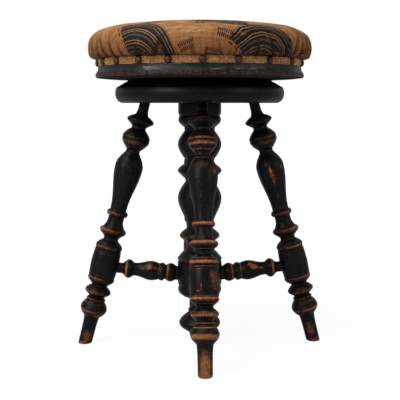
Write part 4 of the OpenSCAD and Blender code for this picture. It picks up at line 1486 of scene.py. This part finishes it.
# %% The shape of the band
BRAID_LOW, BRAID_HIGH = foot_of("gimp_braid"), top_of("gimp_braid")
BRAID_BACK = BRAID_OUT - 3.0 * MM
PLUMP, PRESSED = 1.9 * MM, 0.9 * MM
NAIL_HOLD = 8.5 * MM
braid_middle = (BRAID_LOW + BRAID_HIGH) / 2
braid_half = (BRAID_HIGH - BRAID_LOW) / 2


def pulled_in(angle):
    """1 at a nail and 0 between nails."""
    near = min(abs((angle - at + math.pi) % FULL_TURN - math.pi) for at, _ in nails_at)
    return math.exp(-(near * BRAID_OUT / NAIL_HOLD) ** 2)


def braid_point(angle, share, lift=0.0):
    """A point of the band: share goes from -1 at its lower edge to 1 at its upper edge."""
    pull = pulled_in(angle)
    bulge = (1 - abs(share) ** 2.6) * (PLUMP - PRESSED * pull)
    wave = 0.25 * MM * math.sin(angle * 31) + 0.2 * MM * math.sin(angle * 47 + 1)
    half = braid_half * (1 - 0.10 * pull) - 0.35 * MM
    height = braid_middle + share * half + wave * 0.5
    return outwards(angle) * (BRAID_BACK + 0.5 * MM + bulge + lift) + Vector((0, 0, height))


print("braid:", round(2 * braid_half / MM, 1), "mm wide")

# %% Braid finish
YARN = ((0.345, 0.158, 0.062), (0.735, 0.405, 0.185))
SOIL = (0.20, 0.085, 0.028)
braid_cloth, b = new_finish("braid_fabric")
spot = b.object_place()
yarn = b.cloud(spot, 1500, 3, 0.6)
soil = b.cloud(spot, 60, 3, 0.5)
tone = stored(b, "tone")
shade = b.blend(b.climb(yarn * 0.5 + tone * 0.5, 0.25, 0.75), *YARN)
shade = b.blend(b.climb(soil, 0.4, 0.75) * 0.30, shade, SOIL)
put_on(b, shade, 0.75 + (yarn - 0.5) * 0.2, ((yarn, 0.2 * MM),), Specular_IOR_Level=0.06)
print("braid finish nodes:", len(braid_cloth.node_tree.nodes))

# %% The plain band
AROUND, ACROSS = 480, 8
work = bmesh.new()
loops = []
for i in range(AROUND):
    angle = FULL_TURN * i / AROUND
    front = [braid_point(angle, -1 + 2 * k / ACROSS, -0.5 * MM) for k in range(ACROSS + 1)]
    back = [outwards(angle) * BRAID_BACK + Vector((0, 0, p.z)) for p in (front[-1], front[0])]
    loops.append([work.verts.new(p) for p in front + back])
for i in range(AROUND):
    here, there = loops[i], loops[(i + 1) % AROUND]
    for k in range(len(here)):
        n = (k + 1) % len(here)
        work.faces.new((here[k], there[k], there[n], here[n]))
band_mesh = bpy.data.meshes.new("braid_band")
close_up(work, band_mesh)
band_mesh.materials.append(braid_cloth)
band_mesh.polygons.foreach_set("use_smooth", [True] * len(band_mesh.polygons))
band = add_object("braid_band", band_mesh)
dress(band, "seat", "braid_fabric", "gimp_braid")

# %% Stitches
STITCH_ROWS = 5
STITCH_PITCH = 2.0 * MM
STITCH_LEAN = math.radians(48)
STITCH_TILT, STITCH_SEED = 0.06, 9
ROW_REACH = 0.78
STITCH_SIDES, STITCH_HALF, STITCH_THICK = 5, 1.60 * MM, 0.66 * MM
stitch_rows = [(STITCH_THICK * math.sin(a), -STITCH_HALF * math.cos(a))
               for a in (math.radians(d) for d in (30, 70, 110, 150, 180))]
stitch_model = spun_dome("stitch_model", stitch_rows, STITCH_SIDES)
stitches = []
count = round(FULL_TURN * BRAID_OUT / STITCH_PITCH)
for line in range(STITCH_ROWS):
    share = ROW_REACH * (2 * line / (STITCH_ROWS - 1) - 1)
    lean = STITCH_LEAN if line % 2 else -STITCH_LEAN
    for i in range(count):
        angle = FULL_TURN * (i + 0.5 * (line % 2)) / count
        aside = Vector((-math.sin(angle), math.cos(angle), 0))
        way = aside * math.cos(lean) + Vector((0, 0, 1)) * math.sin(lean)
        stitches.append((braid_point(angle, share), way, outwards(angle)))
print("stitches:", len(stitches))
stitching = scatter_on("braid_stitches", stitches, stitch_model, braid_cloth,
                       STITCH_TILT, STITCH_SEED)
dress(stitching, "seat", "braid_fabric")

# %% [markdown]
# ## Screw
#
# When the seat is wound up, the screw shows between the two boards. Its
# thread climbs one pitch a turn. A grid of rings is sheared, so that its
# rows follow the thread, and each row takes its radius from the place it has
# in the pitch. At both ends the rows are held back to a level ring and the
# last of them close on the axis.

# %% Steel, iron and leather
STEEL = ((0.26, 0.235, 0.21), (0.075, 0.055, 0.040))
IRON = ((0.055, 0.050, 0.046), (0.11, 0.045, 0.022))
LEATHER = ((0.075, 0.034, 0.016), (0.19, 0.095, 0.045))
steel, b = new_finish("screw_steel")
spot = b.object_place()
grease = b.cloud(spot, 160, 4, 0.6)
tool_mark = b.cloud(spot, 900, 3, 0.6, (1, 1, 6))
put_on(b, b.blend(b.climb(grease, 0.35, 0.7), *STEEL),
       0.34 + (grease - 0.5) * 0.35, ((tool_mark, 0.05 * MM),), Metallic=0.9)
iron, b = new_finish("cast_iron")
spot = b.object_place()
grain = b.cloud(spot, 1200, 4, 0.7)
rust = b.cloud(spot, 90, 4, 0.6)
put_on(b, b.blend(b.climb(rust, 0.5, 0.72) * 0.7, *IRON),
       0.58 + (grain - 0.5) * 0.2, ((grain, 0.15 * MM),), Metallic=0.6)
leather, b = new_finish("washer_leather")
spot = b.object_place()
pore = b.cloud(spot, 1400, 3, 0.6)
crease = b.cloud(spot, 260, 4, 0.65)
put_on(b, b.blend(b.climb(crease, 0.35, 0.7), *LEATHER),
       0.55 + (pore - 0.5) * 0.25, ((crease, 0.2 * MM), (pore, 0.08 * MM)), Specular_IOR_Level=0.4)
print("finishes so far:", len(bpy.data.materials))

# %% The tree that cuts the thread
RUN_OUT = 4 * MM
cutter, b, given = new_tree("cut_thread", (
    ("Sides", "Int"), ("Pitch", "Float"), ("Turns", "Int"), ("Root", "Float"), ("Depth", "Float"),
    ("Finish", "Material")))
sides, pitch, turns = given.output("Sides"), given.output("Pitch"), given.output("Turns")
in_pitch = b.add("GeometryNodeAttributeDomainSize", {"component": "MESH"},
                 {"Geometry": given}).output("Point Count")
grid = b.add("GeometryNodeMeshGrid", {},
             {"Vertices X": in_pitch * (turns + 4) + 1, "Vertices Y": sides + 1})
index = b.add("GeometryNodeInputIndex")
row = index.sum("FLOOR", (index + 0.5) / (sides + 1))
column_share = (index - row * (sides + 1)) / sides
whole = row.sum("FLOOR", (row + 0.5) / in_pitch)
outline_point = b.split(b.add(
    "GeometryNodeSampleIndex", {"data_type": "FLOAT_VECTOR", "domain": "POINT"},
    {"Geometry": given, "Value": b.add("GeometryNodeInputPosition"),
     "Index": row - whole * in_pitch}))
climbed = (whole - 2 + outline_point + column_share) * pitch
length = pitch * turns
level = climbed.sum("MINIMUM", climbed.larger(0.0), length)
runout = b.climb(level, 0.0, RUN_OUT) * b.climb(level, length, length - RUN_OUT)
radius = given.output("Root") + given.output("Depth") * outline_point.output("Y") * runout
radius = radius * ((climbed > pitch * -1.0) * (climbed < length + pitch))
angle = column_share * FULL_TURN
spot = b.join(radius * angle.sum("COSINE", angle), radius * angle.sum("SINE", angle), level)
shape = b.add("GeometryNodeSetPosition", {}, {"Geometry": grid, "Position": spot})
shape = b.add("GeometryNodeMergeByDistance", {}, {"Geometry": shape, "Distance": 0.002 * MM})
end_tree(b, shape, given.output("Finish"))
print("thread inputs:", [i.name for i in cutter.interface.items_tree if i.in_out == "INPUT"])

# %% Thread
THREAD_PITCH, THREAD_TURNS = 8 * MM, 19
THREAD_TOP = top_of("nut_plate") - 1.6 * MM
THREAD_FOOT = THREAD_TOP - THREAD_PITCH * THREAD_TURNS
CREST, ROOT = 12 * MM, 10 * MM
# Place in one pitch and share of the thread's depth
THREAD_ROWS = ((0, 0), (0.03, 0.02), (0.10, 0.5), (0.17, 0.98), (0.20, 1), (0.375, 1), (0.55, 1),
               (0.58, 0.98), (0.65, 0.5), (0.72, 0.02), (0.75, 0), (0.875, 0))
outline = bpy.data.meshes.new("thread_outline")
outline.from_pydata([(place, depth, 0) for place, depth in THREAD_ROWS], [], [])
thread = bake("screw_thread", outline, cutter, {
    "Sides": 48, "Pitch": THREAD_PITCH, "Turns": THREAD_TURNS, "Root": ROOT, "Depth": CREST - ROOT,
    "Finish": steel})
work = bmesh.new()
work.from_mesh(thread.data)
bmesh.ops.dissolve_degenerate(work, edges=work.edges[:], dist=0.002 * MM)
close_up(work, thread.data)
thread.data.transform(Matrix.Translation((0, 0, THREAD_FOOT)))
dress(thread, "seat", "screw_steel", "screw_spindle")

# %% Neck and tip of the screw
NECK, COLLAR = 9.8 * MM, 14 * MM
screw_foot, screw_top = foot_of("screw_spindle"), top_of("screw_spindle")
neck_rings = [(THREAD_TOP - 3 * MM, NECK), (screw_top - 3 * MM, NECK),
              (screw_top - 3 * MM, COLLAR), (screw_top, NECK)]
tip_rings = [(screw_foot, ROOT - 1 * MM), (screw_foot + 1 * MM, ROOT), (THREAD_FOOT + 2 * MM, ROOT)]
for name, rings, seed in (("screw_neck", neck_rings, 200.0), ("screw_tip", tip_rings, 201.0)):
    end = turn_piece(name, capped(rings), UPRIGHT, sides=64, seed=seed,
                     unevenness=0.02 * MM, finish=steel)
    dress(end, "seat", "screw_steel")

# %% [markdown]
# ## Parts that stay
#
# The iron plates, their wood screws and the leather washer have the right
# shape already, so the CAD nodes stay and only get a better finish.

# %% Finish the parts that stay
KEPT = {"nut_plate": iron, "seat_plate": iron, "nut_plate_screws": steel,
        "seat_plate_screws": steel, "stop_washer": leather}
for node, finish in KEPT.items():
    mesh = frame["nodes"][node].data
    mesh.materials.clear()
    mesh.materials.append(finish)
print("kept:", ", ".join(KEPT))

# %% [markdown]
# ## Size
#
# The size of the dressed object is printed.

# %% Sizes and the end
low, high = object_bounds()
print("dressed box:", [round(x, 4) for x in (*low, *high)])
